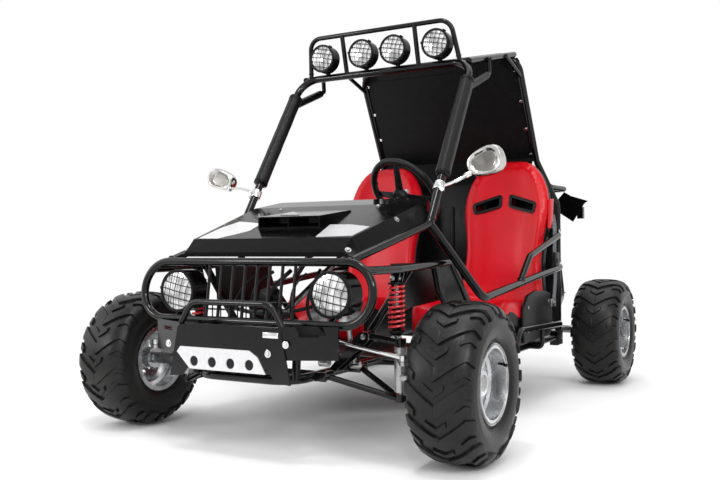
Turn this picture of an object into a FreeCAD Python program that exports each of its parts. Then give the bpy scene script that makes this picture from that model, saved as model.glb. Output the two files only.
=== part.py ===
import FreeCAD, Part
import math
import os
from FreeCAD import Placement, Rotation, Vector

# Two-seat dune buggy on a welded tube frame. The vehicle drives towards -Y, its left side is +X and +Z is up.
# The origin is on the ground below the middle of the whole length. Lengths are millimetres.

doc = FreeCAD.newDocument("dune_buggy")
sheet = doc.addObject("Spreadsheet::Sheet", "sizes")

# Driving sizes: alias and value
SIZES = [
    ("front_axle_y", -669),
    ("wheelbase", 1400),
    ("rear_axle_y", 1400),
    ("dash_y", 240),
    ("tyre_od", 406),
    ("tyre_width", 178),
    ("tyre_bead_width", 142),
    ("lug_height", 6),
    ("rim_od", 200),
    ("rim_seat_od", 184),
    ("rim_wall", 5),
    ("rim_lip", 5),
    ("rim_disc_setback", 12),
    ("rim_slot", 15),
    ("hub_od", 62),
    ("hub_length", 96),
    ("bead_gap", 0.2),
    ("front_wheel_x", 540),
    ("rear_wheel_x", 555),
    ("main_tube", 25),
    ("side_tube", 22),
    ("light_tube", 16),
    ("main_bend", 70),
    ("side_bend", 45),
    ("running_gap", 0.05),
    ("seat_gap", 0.3),
    ("floor_z", 182),
    ("floor_half", 386),
    ("nose_half", 160),
    ("nose_z", 205),
    ("plate", 4),
    ("panel", 3),
    ("king_x", 360),
    ("king_low_z", 148),
    ("king_high_z", 292),
    ("king_pin", 12),
    ("king_tube", 34),
    ("ball_boss", 30),
    ("ball_boss_height", 20),
    ("boss_gap", 2),
    ("spindle", 17),
    ("spindle_reach", 586),
    ("arm_eye_x", 410),
    ("arm_eye_y", -82),
    ("arm_eye_z", 250),
    ("arm_plate", 10),
    ("eye_od", 22),
    ("eye_pin", 8),
    ("eye_height", 14),
    ("arm_pivot_x", 188),
    ("arm_pivot_y", 90),
    ("arm_boss", 24),
    ("arm_boss_length", 36),
    ("arm_bolt", 10),
    ("link_pivot_x", 262),
    ("link_pivot_z", 304),
    ("rack_y", -82),
    ("rack_z", 311),
    ("rack_bar", 16),
    ("rack_half", 108),
    ("rack_housing", 38),
    ("rack_housing_half", 66),
    ("rack_end_gap", 10),
    ("tie_rod", 12),
    ("tie_end", 20),
    ("tie_end_height", 16),
    ("column_od", 18),
    ("column_foot_y", -50),
    ("column_foot_z", 335),
    ("wheel_centre_x", 145),
    ("wheel_centre_y", 465),
    ("wheel_centre_z", 712),
    ("steering_od", 262),
    ("steering_grip", 22),
    ("shock_x", 336),
    ("shock_y", 26),
    ("shock_low_z", 300),
    ("shock_high_z", 458),
    ("shock_eye", 22),
    ("shock_eye_width", 20),
    ("spring_od", 44),
    ("spring_wire", 6),
    ("spring_cup", 3),
    ("hoop_half", 370),
    ("hoop_top_z", 503),
    ("hoop_low_z", 346),
    ("hoop_top_y", -155),
    ("hoop_low_y", -178),
    ("bar_od", 9),
    ("bar_pitch", 40),
    ("bumper_y", -262),
    ("headlamp_od", 118),
    ("headlamp_lens", 106),
    ("headlamp_depth", 62),
    ("headlamp_x", 249),
    ("headlamp_y", -168),
    ("headlamp_z", 422),
    ("roof_lamp_od", 96),
    ("roof_lamp_lens", 86),
    ("roof_lamp_depth", 42),
    ("roof_lamp_y", 548),
    ("roof_lamp_z", 1204),
    ("roof_lamp_inner_x", 61),
    ("roof_lamp_outer_x", 217),
    ("lens_depth", 8),
    ("seat_x", 259),
    ("seat_half", 173),
    ("axle_od", 30),
    ("carrier_x", 235),
    ("carrier_od", 70),
    ("carrier_width", 40),
    ("sprocket_od", 190),
    ("disc_od", 170),
    ("engine_y", 1145),
    ("engine_length", 170),
    ("engine_half", 140),
    ("engine_low_z", 232),
    ("engine_height", 230),
    ("muffler_od", 96),
    ("muffler_length", 300),
    ("muffler_y", 1490),
    ("muffler_z", 400),
    ("pad_od", 46),
    ("grab_od", 27),
    ("wing_half", 292),
    ("wing_back", 62),
    ("insert_hole", 27),
    ("hood_wall", 5),
    ("hood_nose_y", -122),
    ("hood_nose_half", 288),
    ("hood_nose_low_z", 516),
    ("hood_nose_z", 528),
    ("hood_brow_y", -82),
    ("hood_brow_half", 292),
    ("hood_brow_z", 566),
    ("hood_cowl_y", 264),
    ("hood_cowl_half", 332),
    ("hood_cowl_low_z", 622),
    ("hood_cowl_z", 668),
    ("hood_rear_y", 372),
    ("hood_rear_half", 300),
    ("hood_rear_z", 690),
    ("scoop_half", 105),
    ("scoop_height", 34),
    ("mirror_arm", 10),
    ("mirror_width", 112),
    ("mirror_height", 86),
    ("mirror_depth", 34),
    ("shoe_width", 30),
    ("shoe_length", 76),
    ("shoe_height", 58),
    ("tail_plate", 64),
    ("tail_lamp", 24),
    ("flange_slot", 10),
    ("seat_front_y", 612),
    ("seat_back_y", 1178),
    ("seat_top_z", 877),
    ("seat_pad", 62),
    ("overrun", 20),
]

# Skeleton points of the frame: name, then distance out from the middle, back from the front axle, and up.
# The points along the floor's sides are given out from the floor's half width.
POINTS = [
    ("pillar_foot", 335, 240, 606),
    ("pillar_top", 328, 595, 1143),
    ("roof_rear", 330, 1035, 1250),
    ("hoop_knee", 335, 1245, 870),
    ("hoop_heel", 8, 1320, 700),
    ("nose_tip", 160, -205, 205),
    ("nose_bend", 160, 230, 205),
    ("floor_front", -6, 440, 182),
    ("floor_rear", 8, 1320, 182),
    ("guard_mid", 356, 0, 482),
    ("guard_high", 356, 342, 494),
    ("guard_low", 352, 582, 268),
    ("guard_foot", -5, 592, 182),
    ("inner_high", 356, 225, 486),
    ("inner_low", 352, 262, 420),
    ("inner_foot", -6, 448, 182),
    ("sill_front", 445, 371, 387),
    ("sill_rear", 446, 1165, 459),
    ("sill_end", 8, 1320, 470),
    ("arm_front", 446, 703, 419),
    ("arm_low", 446, 808, 505),
    ("arm_high", 446, 1150, 578),
    ("arm_end", 8, 1320, 600),
    ("hood_rail_front", 292, -155, 503),
    ("upright_low", 160, -190, 205),
    ("tower_low", 160, 78, 205),
    ("tower_high", 352, 78, 484),
    ("carrier_front", 368, 1288, 772),
    ("carrier_rear", 385, 1500, 772),
    ("tail_low", 360, 1500, 330),
    ("tail_front", 8, 1320, 300),
    ("bull_foot", 160, -250, 346),
    ("bull_corner", 128, -250, 400),
    ("rack_foot", 287, 588, 1149),
    ("rack_top", 268, 555, 1277),
    ("grab_low", 330, 528, 1040),
    ("grab_bend", 330, 742, 1126),
    ("grab_high", 330, 738, 1178),
    ("mirror_clamp", 333, 313, 716),
    ("mirror_elbow", 366, 316, 722),
    ("mirror_neck", 412, 348, 752),
    ("mirror_head", 458, 352, 788),
    ("far_mirror_elbow", 372, 300, 740),
    ("far_mirror_neck", 474, 348, 742),
    ("far_mirror_head", 521, 352, 778),
    ("step_front", -5, 600, 182),
    ("step_out", 60, 636, 184),
    ("step_bend_front", 60, 690, 264),
    ("step_bend_rear", 60, 1160, 246),
    ("step_rear", 8, 1320, 238),
    ("step_prop", 0, 940, 182),
    ("tail_bracket", 385, 1500, 740),
    ("pad_low", 333, 322, 757),
    ("pad_high", 329, 540, 1087),
    ("swing_pivot", 190, 1150, 215),
    ("swing_end", 235, 1400, 203),
    ("rear_shock_low", 205, 1290, 236),
    ("rear_shock_high", 215, 1215, 576),
]

FLOOR_SIDE = [
    "floor_front", "floor_rear", "guard_foot", "inner_foot", "hoop_heel", "sill_end", "arm_end", "tail_front",
    "step_front", "step_out", "step_bend_front", "step_bend_rear", "step_rear", "step_prop",
]


def fill_sheet():
    rows = list(SIZES)
    for name, across, back, up in POINTS:
        rows += [(name + "_x", across), (name + "_y", back), (name + "_z", up)]
    for row, (alias, value) in enumerate(rows, 1):
        sheet.set("A%d" % row, alias)
        sheet.set("B%d" % row, str(value))
        sheet.setAlias("B%d" % row, alias)
    doc.recompute()


class Length:
    """A length from the sheet, or a sum or share of lengths: its number, and its text for an expression."""

    def __init__(self, value, text):
        self.value = value
        self.text = text

    def __add__(self, other):
        return Length(self.value + other.value, "(%s + %s)" % (self.text, other.text))

    def __sub__(self, other):
        return Length(self.value - other.value, "(%s - %s)" % (self.text, other.text))

    def __mul__(self, share):
        return Length(self.value * share, "(%s * %s)" % (self.text, share))

    def __truediv__(self, share):
        return Length(self.value / share, "(%s / %s)" % (self.text, share))

    def __neg__(self):
        return Length(-self.value, "(-%s)" % self.text)

    def __float__(self):
        return float(self.value)


class Sizes:
    """Reads a named length from the sheet."""

    def __getattr__(self, alias):
        return Length(float(sheet.get(alias)), "sizes." + alias)


fill_sheet()
s = Sizes()
ZERO = Length(0.0, "0")
ENGINE_FOOT_SHARE = 0.75
SLOT_SHARE = 0.64
nodes = {}


def back(y):
    """A place along the vehicle: behind the dash, the drawn places stretch to meet the wheelbase."""
    beyond = float(y) - float(s.dash_y)
    if beyond <= 0:
        return float(y)
    return float(s.dash_y) + beyond * float(s.wheelbase - s.dash_y) / float(s.rear_axle_y - s.dash_y)


def place(x, y, z):
    """A point of the vehicle: out to the left, back from the front axle and up."""
    return Vector(float(x), back(y) + float(s.front_axle_y), float(z))


def spot(name, side=1):
    """A skeleton point on the left side (1) or the right side (-1)."""
    across = float(sheet.get(name + "_x"))
    if name in FLOOR_SIDE:
        across += float(s.floor_half)
    return place(across * side, sheet.get(name + "_y"), sheet.get(name + "_z"))


def shifted(point, x=0.0, y=0.0, z=0.0):
    return point + Vector(float(x), float(y), float(z))


def between(start, end, share):
    return start + (end - start) * share


def turned_to(direction):
    return Rotation(Vector(0, 0, 1), direction)


def add(kind, name, **props):
    """A new document object whose sizes are bound to the sheet."""
    item = doc.addObject(kind, name)
    for prop, length in props.items():
        item.setExpression(prop, length.text)
    return item


def rod(name, start, end, od):
    """A straight round bar from one point to another."""
    item = add("Part::Cylinder", name, Radius=od / 2)
    item.Height = (end - start).Length
    item.Placement = Placement(start, turned_to(end - start))
    return item


def disc(name, centre, axis, od, thickness):
    """A round plate centred on a point."""
    item = add("Part::Cylinder", name, Radius=od / 2, Height=thickness)
    start = centre - axis * (float(thickness) / 2)
    item.Placement = Placement(start, turned_to(axis))
    return item


def block(name, centre, length_x, length_y, length_z):
    """A box centred on a point, its edges along the axes."""
    item = add("Part::Box", name, Length=length_x, Width=length_y, Height=length_z)
    half = Vector(float(length_x), float(length_y), float(length_z)) / 2
    item.Placement = Placement(centre - half, Rotation())
    return item


def rounded(points, bend):
    """A line through the points with tangent arcs at its corners, kept within the shorter run."""
    fit_share = 0.49
    edges = []
    start = points[0]
    for before, corner, after in zip(points, points[1:], points[2:]):
        behind = (before - corner).normalize()
        ahead = (after - corner).normalize()
        half_turn = (math.pi - behind.getAngle(ahead)) / 2
        run = min((before - corner).Length, (after - corner).Length)
        radius = min(float(bend), run * fit_share / math.tan(half_turn))
        setback = radius * math.tan(half_turn)
        inward = (behind + ahead).normalize()
        middle = corner + inward * (radius / math.cos(half_turn) - radius)
        first = corner + behind * setback
        last = corner + ahead * setback
        edges.append(Part.LineSegment(start, first).toShape())
        edges.append(Part.Arc(first, middle, last).toShape())
        start = last
    edges.append(Part.LineSegment(start, points[-1]).toShape())
    return Part.Wire(edges)


def tube(name, points, od, bend):
    """A round tube swept along a bent line."""
    path = doc.addObject("Part::Feature", name + "_path")
    path.Shape = rounded(points, bend)
    ring = add("Part::Circle", name + "_ring", Radius=od / 2)
    ring.Placement = Placement(points[0], turned_to(points[1] - points[0]))
    run = doc.addObject("Part::Sweep", name)
    run.Sections = [ring]
    run.Spine = (path, ["Edge%d" % (i + 1) for i in range(len(path.Shape.Edges))])
    run.Solid = True
    run.Frenet = False
    return run


def prism(name, points, depth):
    """A flat outline pushed along a vector."""
    face = doc.addObject("Part::Feature", name + "_outline")
    face.Shape = Part.Face(Part.makePolygon(points + points[:1]))
    item = doc.addObject("Part::Extrusion", name)
    item.Base = face
    item.DirMode = "Custom"
    item.Dir = depth
    item.LengthFwd = depth.Length
    item.Solid = True
    return item


def faceted(name, polygons):
    """A solid closed by flat faces, each given by its corners."""
    faces = [Part.Face(Part.makePolygon(corners + corners[:1])) for corners in polygons]
    shell = Part.makeShell(faces)
    shell.sewShape()
    solid = Part.Solid(shell)
    if solid.Volume < 0:
        solid.reverse()
    item = doc.addObject("Part::Feature", name)
    item.Shape = solid
    return item


def strip(low, high):
    """Triangles between two closed rows of as many points."""
    pairs = list(zip(low, high))
    faces = []
    for (a, b), (c, d) in zip(pairs, pairs[1:] + pairs[:1]):
        faces += [[a, c, d], [a, d, b]]
    return faces


def weld(name, pieces):
    item = doc.addObject("Part::MultiFuse", name)
    item.Shapes = pieces
    item.Refine = True
    return item


def cut(name, base, tools):
    """The base with each tool taken away in turn."""
    for tool in tools:
        item = doc.addObject("Part::Cut", name)
        item.Base = base
        item.Tool = tool
        base = item
    return base


def group(name, pieces):
    """Like pieces that don't touch, in one sub-part."""
    item = doc.addObject("Part::Compound", name)
    item.Links = pieces
    return item


def finish(node, item):
    item.Label = node
    nodes[node] = item
    return item


def revolved(name, profile, centre, axis):
    """A body turned about an axis: the profile is pairs of place along the axis and radius."""
    body = doc.addObject("PartDesign::Body", name)
    plane = [f for f in body.Origin.OriginFeatures if f.Role == "XZ_Plane"][0]
    sketch = body.newObject("Sketcher::SketchObject", name + "_profile")
    sketch.AttachmentSupport = (plane, "")
    sketch.MapMode = "FlatFace"
    corners = [Vector(float(radius), float(along), 0) for along, radius in profile]
    for first, last in zip(corners, corners[1:] + corners[:1]):
        sketch.addGeometry(Part.LineSegment(first, last), False)
    turn = body.newObject("PartDesign::Revolution", name + "_turn")
    turn.Profile = sketch
    turn.ReferenceAxis = (sketch, ["V_Axis"])
    turn.Angle = 360
    body.Tip = turn
    body.Placement = Placement(centre, turned_to(axis))
    return body


def wheel_centre(x, y, side):
    return place(x * side, y, s.tyre_od / 2)


def tyre(node, x, y, side):
    """A low-pressure tyre in flat facets: chevron lugs that climb outwards from the tread's middle."""
    centre = wheel_centre(x, y, side)
    lugs = 14
    pitch = 2 * math.pi / lugs
    lug_share = 0.42
    half = float(s.tyre_width) / 2
    bead = float(s.tyre_bead_width) / 2
    wall = float(s.rim_od) / 2 + float(s.rim_lip)
    crown = float(s.tyre_od) / 2 / math.cos(lug_share * pitch / 2)
    inner = float(s.rim_seat_od / 2 + s.bead_gap) / math.cos((1 - lug_share) * pitch / 2)
    rise = crown - float(s.lug_height) - wall
    # share of the half width, share of the carcass's rise, and how far the lug has climbed in pitches
    tread_shares = [(0.0, 1.0, 0.0), (0.5, 0.975, 0.38), (0.82, 0.88, 0.62), (0.93, 0.76, 0.5)]
    side_shares = [(0.99, 0.6), (1.0, 0.36)]
    faces = []
    for hand in (1, -1):
        floor_rows = []
        for number, (across, up, lead) in enumerate(tread_shares):
            radius = wall + rise * up
            row = []
            for i in range(lugs):
                for edge in (-lug_share / 2, lug_share / 2):
                    turn = (i + lead + edge) * pitch
                    low = ring_point(centre, half * across * hand, radius, turn)
                    high = ring_point(centre, half * across * hand, radius + float(s.lug_height), turn)
                    row.append((low, high))
            floor_rows.append(row)
        count = 2 * lugs
        for near, far in zip(floor_rows, floor_rows[1:]):
            for i in range(0, count, 2):
                (a, a_top), (b, b_top), (c, _) = near[i], near[i + 1], near[(i + 2) % count]
                (d, d_top), (e, e_top), (f, _) = far[i], far[i + 1], far[(i + 2) % count]
                walls = [(a, a_top, d_top, d), (b_top, b, e, e_top)]
                for one, two, three, four in walls + [(a_top, b_top, e_top, d_top), (b, c, f, e)]:
                    faces += [[one, two, three], [one, three, four]]
        for i in range(0, count, 2):
            (a, a_top), (b, b_top) = floor_rows[-1][i], floor_rows[-1][i + 1]
            faces.append([a, a_top, b_top, b])
        lead = tread_shares[-1][2]
        turns = [(i + lead + edge) * pitch for i in range(lugs) for edge in (-lug_share / 2, lug_share / 2)]
        rows = [[low for low, high in floor_rows[-1]]]
        rings = [(half * across, wall + rise * up) for across, up in side_shares]
        for along, radius in rings + [(bead, wall), (bead, inner)]:
            rows.append([ring_point(centre, along * hand, radius, turn) for turn in turns])
        for low, high in zip(rows, rows[1:]):
            faces += strip(low, high)
        if hand > 0:
            first_ring = rows[-1]
    faces += strip(first_ring, rows[-1])
    return finish(node, faceted(node + "_carcass", faces))


def ring_point(centre, along, radius, turn):
    """A point round a wheel: out along the axle, and turned from straight down towards the front."""
    return shifted(centre, along, -radius * math.sin(turn), -radius * math.cos(turn))


def rim(name, x, y, side, bore):
    """A pressed steel wheel with its flange lips, drop centre, disc and hub."""
    bead = s.tyre_bead_width / 2
    lip = s.rim_od / 2
    seat = s.rim_seat_od / 2
    drop = seat - s.rim_wall * 2
    bore_radius = bore / 2 + s.running_gap
    disc_out = s.rim_disc_setback + s.rim_wall
    profile = [
        (bead + s.rim_lip, lip),
        (bead + s.bead_gap, lip),
        (bead + s.bead_gap, seat),
        (bead / 2, seat),
        (bead / 2 - s.rim_wall, drop),
        (-bead / 2 + s.rim_wall, drop),
        (-bead / 2, seat),
        (-bead - s.bead_gap, seat),
        (-bead - s.bead_gap, lip),
        (-bead - s.rim_lip, lip),
        (-bead - s.rim_lip, seat - s.rim_wall),
        (-bead / 2, seat - s.rim_wall),
        (-bead / 2 + s.rim_wall, drop - s.rim_wall),
        (s.rim_disc_setback, drop - s.rim_wall),
        (s.rim_disc_setback, s.hub_od / 2),
        (-s.hub_length / 2, s.hub_od / 2),
        (-s.hub_length / 2, bore_radius),
        (s.hub_length / 2, bore_radius),
        (s.hub_length / 2, s.hub_od / 2),
        (disc_out, s.hub_od / 2),
        (disc_out, drop - s.rim_wall),
        (bead / 2 - s.rim_wall, drop - s.rim_wall),
        (bead / 2, seat - s.rim_wall),
        (bead + s.rim_lip, seat - s.rim_wall),
    ]
    turned = revolved(name + "_turned", profile, wheel_centre(x, y, side), Vector(side, 0, 0))
    slots = 6
    middle = (drop - s.rim_wall + s.hub_od / 2) / 2
    spread = math.pi / slots / 2
    tools = []
    for i in range(slots):
        ends = []
        for turn in (i * 2 * math.pi / slots - spread, i * 2 * math.pi / slots + spread):
            point = ring_point(wheel_centre(x, y, side), 0.0, float(middle), turn)
            ends.append(rod(name + "_slot_end", point, shifted(point, disc_out * side * 2), s.rim_slot))
        radial = ring_point(Vector(), 0.0, 1.0, i * 2 * math.pi / slots)
        chord = Vector(1, 0, 0).cross(radial) * (float(middle) * math.sin(spread))
        width = radial * (float(s.rim_slot) / 2)
        mouth = wheel_centre(x, y, side) + radial * (float(middle) * math.cos(spread))
        corners = [mouth + chord + width, mouth + chord - width, mouth - chord - width, mouth - chord + width]
        ends.append(prism(name + "_slot_middle", corners, Vector(float(disc_out) * side * 2, 0, 0)))
        tools.append(weld(name + "_slot", ends))
    return cut(name + "_slotted", turned, tools)


def wheels():
    for side, hand in ((1, "left"), (-1, "right")):
        tyre("front_tyre_" + hand, s.front_wheel_x, ZERO, side)
        front = rim("front_rim_" + hand, s.front_wheel_x, ZERO, side, s.spindle)
        finish("front_rim_" + hand, front)
        tyre("rear_tyre_" + hand, s.rear_wheel_x, s.rear_axle_y, side)
        rear = rim("rear_rim_" + hand, s.rear_wheel_x, s.rear_axle_y, side, s.axle_od)
        finish("rear_rim_" + hand, rear)


def rear_axle():
    """The live axle with its sprocket and brake disc, which turns with both rear wheels."""
    reach = s.rear_wheel_x + s.hub_length / 2
    level = s.tyre_od / 2
    across = Vector(1, 0, 0)
    left = place(reach, s.rear_axle_y, level)
    shaft = rod("axle_shaft", place(-reach, s.rear_axle_y, level), left, s.axle_od)
    inboard = s.carrier_x - s.carrier_width
    pieces = [shaft]
    for name, side, od in (("sprocket", 1, s.sprocket_od), ("brake_disc", -1, s.disc_od)):
        centre = place((inboard - s.carrier_width) * side, s.rear_axle_y, level)
        pieces.append(disc(name + "_hub", centre, across, s.hub_od, s.carrier_width / 2))
        pieces.append(disc(name, centre, across, od, s.rim_wall))
    finish("rear_axle", weld("rear_axle_weld", pieces))


def floor_frame():
    """The flat lower frame: one bent loop from the nose round the seats, its cross tubes and pivot ears."""
    names = ["floor_rear", "floor_front", "nose_bend", "nose_tip"]
    loop = [spot(n) for n in names] + [spot(n, -1) for n in reversed(names)]
    behind = Vector(0, float(s.main_tube) / 2, 0)
    loop[0] += behind
    loop[-1] += behind
    pieces = [tube("floor_loop", loop, s.main_tube, s.main_bend)]
    foot_well_share = 0.3
    back_of_foot_well = s.floor_front_y + (s.floor_rear_y - s.floor_front_y) * foot_well_share
    crosses = [
        ("front_cross", s.floor_front_y),
        ("seat_front_cross", back_of_foot_well),
        ("engine_front_cross", s.swing_pivot_y),
        ("engine_rear_cross", s.engine_y + s.engine_length * ENGINE_FOOT_SHARE),
    ]
    for name, y in crosses:
        left = place(s.floor_half, y, s.floor_z)
        right = place(-s.floor_half, y, s.floor_z)
        pieces.append(rod(name, left, right, s.side_tube))
    pieces.append(rod("nose_rear_cross", spot("nose_bend"), spot("nose_bend", -1), s.side_tube))
    for side in (1, -1):
        pieces += arm_ears(side)
        pieces += swing_ears(side)
        pieces.append(heel_shoe(side))
    return finish("floor_frame", weld("floor_frame_weld", pieces))


def heel_shoe(side):
    """The box that stiffens the rear corner of the floor loop."""
    corner = shifted(spot("floor_rear", side), s.main_tube * side / 2, 0.0, s.main_tube / 2)
    middle = shifted(corner, -s.shoe_width * side / 2, -s.shoe_length / 4, -s.shoe_height / 4)
    return block("heel_shoe", middle, s.shoe_width, s.shoe_length, s.shoe_height)


def arm_ears(side):
    """Two pairs of ears that hold the lower arm's pivots beside the nose rail, with their bolts."""
    ears = []
    reach = s.arm_pivot_x - s.nose_half + s.arm_boss / 2
    apart = s.arm_boss_length / 2 + s.running_gap + s.plate / 2
    for end in (1, -1):
        for face in (1, -1):
            middle = place((s.nose_half + reach / 2) * side, s.arm_pivot_y * end + apart * face, s.nose_z)
            ears.append(block("arm_ear", middle, reach, s.plate, s.arm_boss))
        low = place(s.arm_pivot_x * side, s.arm_pivot_y * end - apart, s.nose_z)
        high = place(s.arm_pivot_x * side, s.arm_pivot_y * end + apart, s.nose_z)
        ears.append(rod("arm_bolt", low, high, s.arm_bolt))
    return ears


def swing_ears(side):
    """A cross-tube stub with two ears that holds the swing arm's pivot."""
    pivot = spot("swing_pivot", side)
    apart = float(s.arm_boss_length / 2 + s.running_gap + s.plate / 2)
    ears = []
    for face in (1, -1):
        middle = pivot + Vector(apart * face, 0, 0)
        middle = shifted(middle, 0.0, 0.0, -s.main_tube / 4)
        ears.append(block("swing_ear", middle, s.plate, s.arm_boss, s.main_tube * 2))
    ears.append(rod("swing_bolt", pivot - Vector(apart, 0, 0), pivot + Vector(apart, 0, 0), s.arm_bolt))
    return ears


def roll_cage():
    """The windscreen hoop, the roof rails and the rear hoop down to the floor."""
    front = [spot("pillar_foot"), spot("pillar_top"), spot("pillar_top", -1), spot("pillar_foot", -1)]
    pieces = [tube("pillar_hoop", front, s.main_tube, s.main_bend)]
    names = ["floor_rear", "hoop_heel", "hoop_knee", "roof_rear"]
    rear = [spot(n) for n in names] + [spot(n, -1) for n in reversed(names)]
    pieces.append(tube("rear_hoop", rear, s.main_tube, s.main_bend))
    rail_share = 0.72
    post_share = 0.2
    for side in (1, -1):
        top = spot("pillar_top", side)
        rear_top = spot("roof_rear", side)
        knee = spot("hoop_knee", side)
        inward = Vector(-side * float(s.main_tube) / 2, 0, 0)
        pieces.append(rod("roof_rail", top + inward, rear_top + inward, s.side_tube))
        brace_low = between(rear_top, knee, post_share)
        pieces.append(rod("corner_brace", between(top, rear_top, rail_share), brace_low, s.light_tube))
    cage = cut("roll_cage_cut", weld("roll_cage_weld", pieces), [nodes["floor_frame"]])
    return finish("roll_cage", cage)


def front_frame():
    """The upper nose: uprights, hood rails, cowl bar, shock towers and the brackets on them."""
    pieces = [rod("cowl_bar", spot("pillar_foot"), spot("pillar_foot", -1), s.side_tube)]
    pieces += column_support()
    for side in (1, -1):
        pieces.append(rod("hood_rail", spot("hood_rail_front", side), spot("pillar_foot", side), s.side_tube))
        pieces.append(rod("tower", spot("tower_low", side), spot("tower_high", side), s.side_tube))
        pieces.append(rod("upright", spot("upright_low", side), upright_top(side), s.side_tube))
        pieces += shock_ears(side)
        pieces += link_ears(side)
    pieces += rack_mount()
    weldment = weld("front_frame_weld", pieces)
    tools = [nodes[n] for n in ("floor_frame", "roll_cage", "grille_guard", "side_guards")]
    return finish("front_frame", cut("front_frame_cut", weldment, tools))


def upright_top(side):
    return place(s.nose_half * side, s.hoop_low_y, s.hoop_low_z)


def column_line():
    foot = place(ZERO, s.column_foot_y, s.column_foot_z)
    hub = place(s.wheel_centre_x, s.wheel_centre_y, s.wheel_centre_z)
    return foot, hub


def column_support():
    """A ring round the steering column, hung from the cowl bar."""
    foot, hub = column_line()
    share = (spot("pillar_foot").y - foot.y) / (hub.y - foot.y)
    centre = between(foot, hub, share)
    axis = (hub - foot).normalize()
    ring = disc("column_ring", centre, axis, s.column_od * 2, s.column_od)
    bore = disc("column_ring_bore", centre, axis, s.column_od + s.running_gap * 2, s.column_od * 2)
    bar = Vector(centre.x, spot("pillar_foot").y, spot("pillar_foot").z)
    strut = rod("column_strut", centre, bar, s.light_tube)
    return [cut("column_holder", weld("column_holder_weld", [ring, strut]), [bore])]


def shock_ears(side):
    """Two ears under the guard rail with the bolt of the shock's upper eye."""
    pin = place(s.shock_x * side, s.shock_y, s.shock_high_z)
    apart = float(s.shock_eye_width / 2 + s.running_gap + s.plate / 2)
    top = spot("guard_mid", side)
    ears = []
    for face in (1, -1):
        step = Vector(0, apart * face, 0)
        low = Vector(0, 0, -float(s.shock_eye) / 2)
        width = Vector(side * float(s.shock_eye) / 2, 0, 0)
        root = Vector(top.x, pin.y, top.z)
        corners = [pin + low - width, pin + low + width, root, root - width * 2]
        edge = Vector(0, -float(s.plate) / 2, 0)
        ears.append(prism("shock_ear", [c + step + edge for c in corners], Vector(0, float(s.plate), 0)))
    ears.append(rod("shock_bolt", pin - Vector(0, apart, 0), pin + Vector(0, apart, 0), s.arm_bolt))
    return ears


def link_ears(side):
    """Two ears that reach out from the tower and the nose rail to the upper link's pivot."""
    pin = place(s.link_pivot_x * side, ZERO, s.link_pivot_z)
    apart = float(s.arm_boss_length / 2 + s.running_gap + s.plate / 2)
    ears = []
    root = place(s.nose_half * side, ZERO, s.nose_z)
    half = float(s.arm_boss) / 2
    for face in (1, -1):
        step = Vector(0, apart * face - float(s.plate) / 2, 0)
        tip = Vector(side * half, 0, 0)
        rise = Vector(0, 0, half)
        corners = [root - tip, root + tip, pin + tip - rise, pin + tip + rise, pin - tip + rise]
        ears.append(prism("link_ear", [c + step for c in corners], Vector(0, float(s.plate), 0)))
    ears.append(rod("link_bolt", pin - Vector(0, apart, 0), pin + Vector(0, apart, 0), s.arm_bolt))
    return ears


def rack_mount():
    """The steering rack's housing with the column's socket, on a bar across the nose."""
    half = float(s.rack_housing_half)
    centre = place(ZERO, s.rack_y, s.rack_z)
    across = Vector(1, 0, 0)
    housing = disc("rack_housing", centre, across, s.rack_housing, s.rack_housing_half * 2)
    bore = disc("rack_bore", centre, across, s.rack_bar + s.running_gap * 2, s.rack_housing_half * 3)
    foot, hub = column_line()
    axis = (hub - foot).normalize()
    socket_top = foot + axis * float(s.rack_housing)
    socket = rod("column_socket", foot - axis * float(s.column_od), socket_top, s.column_od * 2)
    socket_bore = rod("column_socket_bore", foot, foot + axis * half, s.column_od + s.running_gap * 2)
    left = place(s.nose_half, s.rack_y, s.nose_z)
    bar = rod("rack_bar_mount", place(-s.nose_half, s.rack_y, s.nose_z), left, s.side_tube)
    stem_height = s.rack_z - s.nose_z
    stem_middle = place(ZERO, s.rack_y, s.nose_z + stem_height / 2)
    stem = block("rack_stem", stem_middle, s.rack_housing, s.light_tube, stem_height)
    return [cut("rack_mount", weld("rack_mount_weld", [housing, socket, bar, stem]), [bore, socket_bore])]


def racetrack(name, half, top, low, y_top, y_low, od):
    """A closed tube bent to a straight-sided ring with full round ends, leaning with its height."""
    lean = math.hypot(float(top - low), float(y_top - y_low))
    middle_z = (top + low) / 2
    middle_y = (y_top + y_low) / 2
    straight = float(half) - lean / 2
    corner = place(straight, y_top, top)
    edges = []
    for side in (1, -1):
        high = place(straight * side, y_top, top)
        out = place(float(half) * side, middle_y, middle_z)
        down = place(straight * side, y_low, low)
        edges.append(Part.Arc(high, out, down).toShape())
    edges.append(Part.LineSegment(corner, place(-straight, y_top, top)).toShape())
    edges.append(Part.LineSegment(place(straight, y_low, low), place(-straight, y_low, low)).toShape())
    path = doc.addObject("Part::Feature", name + "_path")
    path.Shape = Part.Wire(Part.__sortEdges__(edges))
    first = path.Shape.OrderedEdges[0]
    ring = add("Part::Circle", name + "_ring", Radius=od / 2)
    start = first.valueAt(first.FirstParameter)
    tangent = first.tangentAt(first.FirstParameter)
    ring.Placement = Placement(start, turned_to(tangent))
    run = doc.addObject("Part::Sweep", name)
    run.Sections = [ring]
    run.Spine = (path, ["Edge%d" % (i + 1) for i in range(len(path.Shape.Edges))])
    run.Solid = True
    return run


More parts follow.
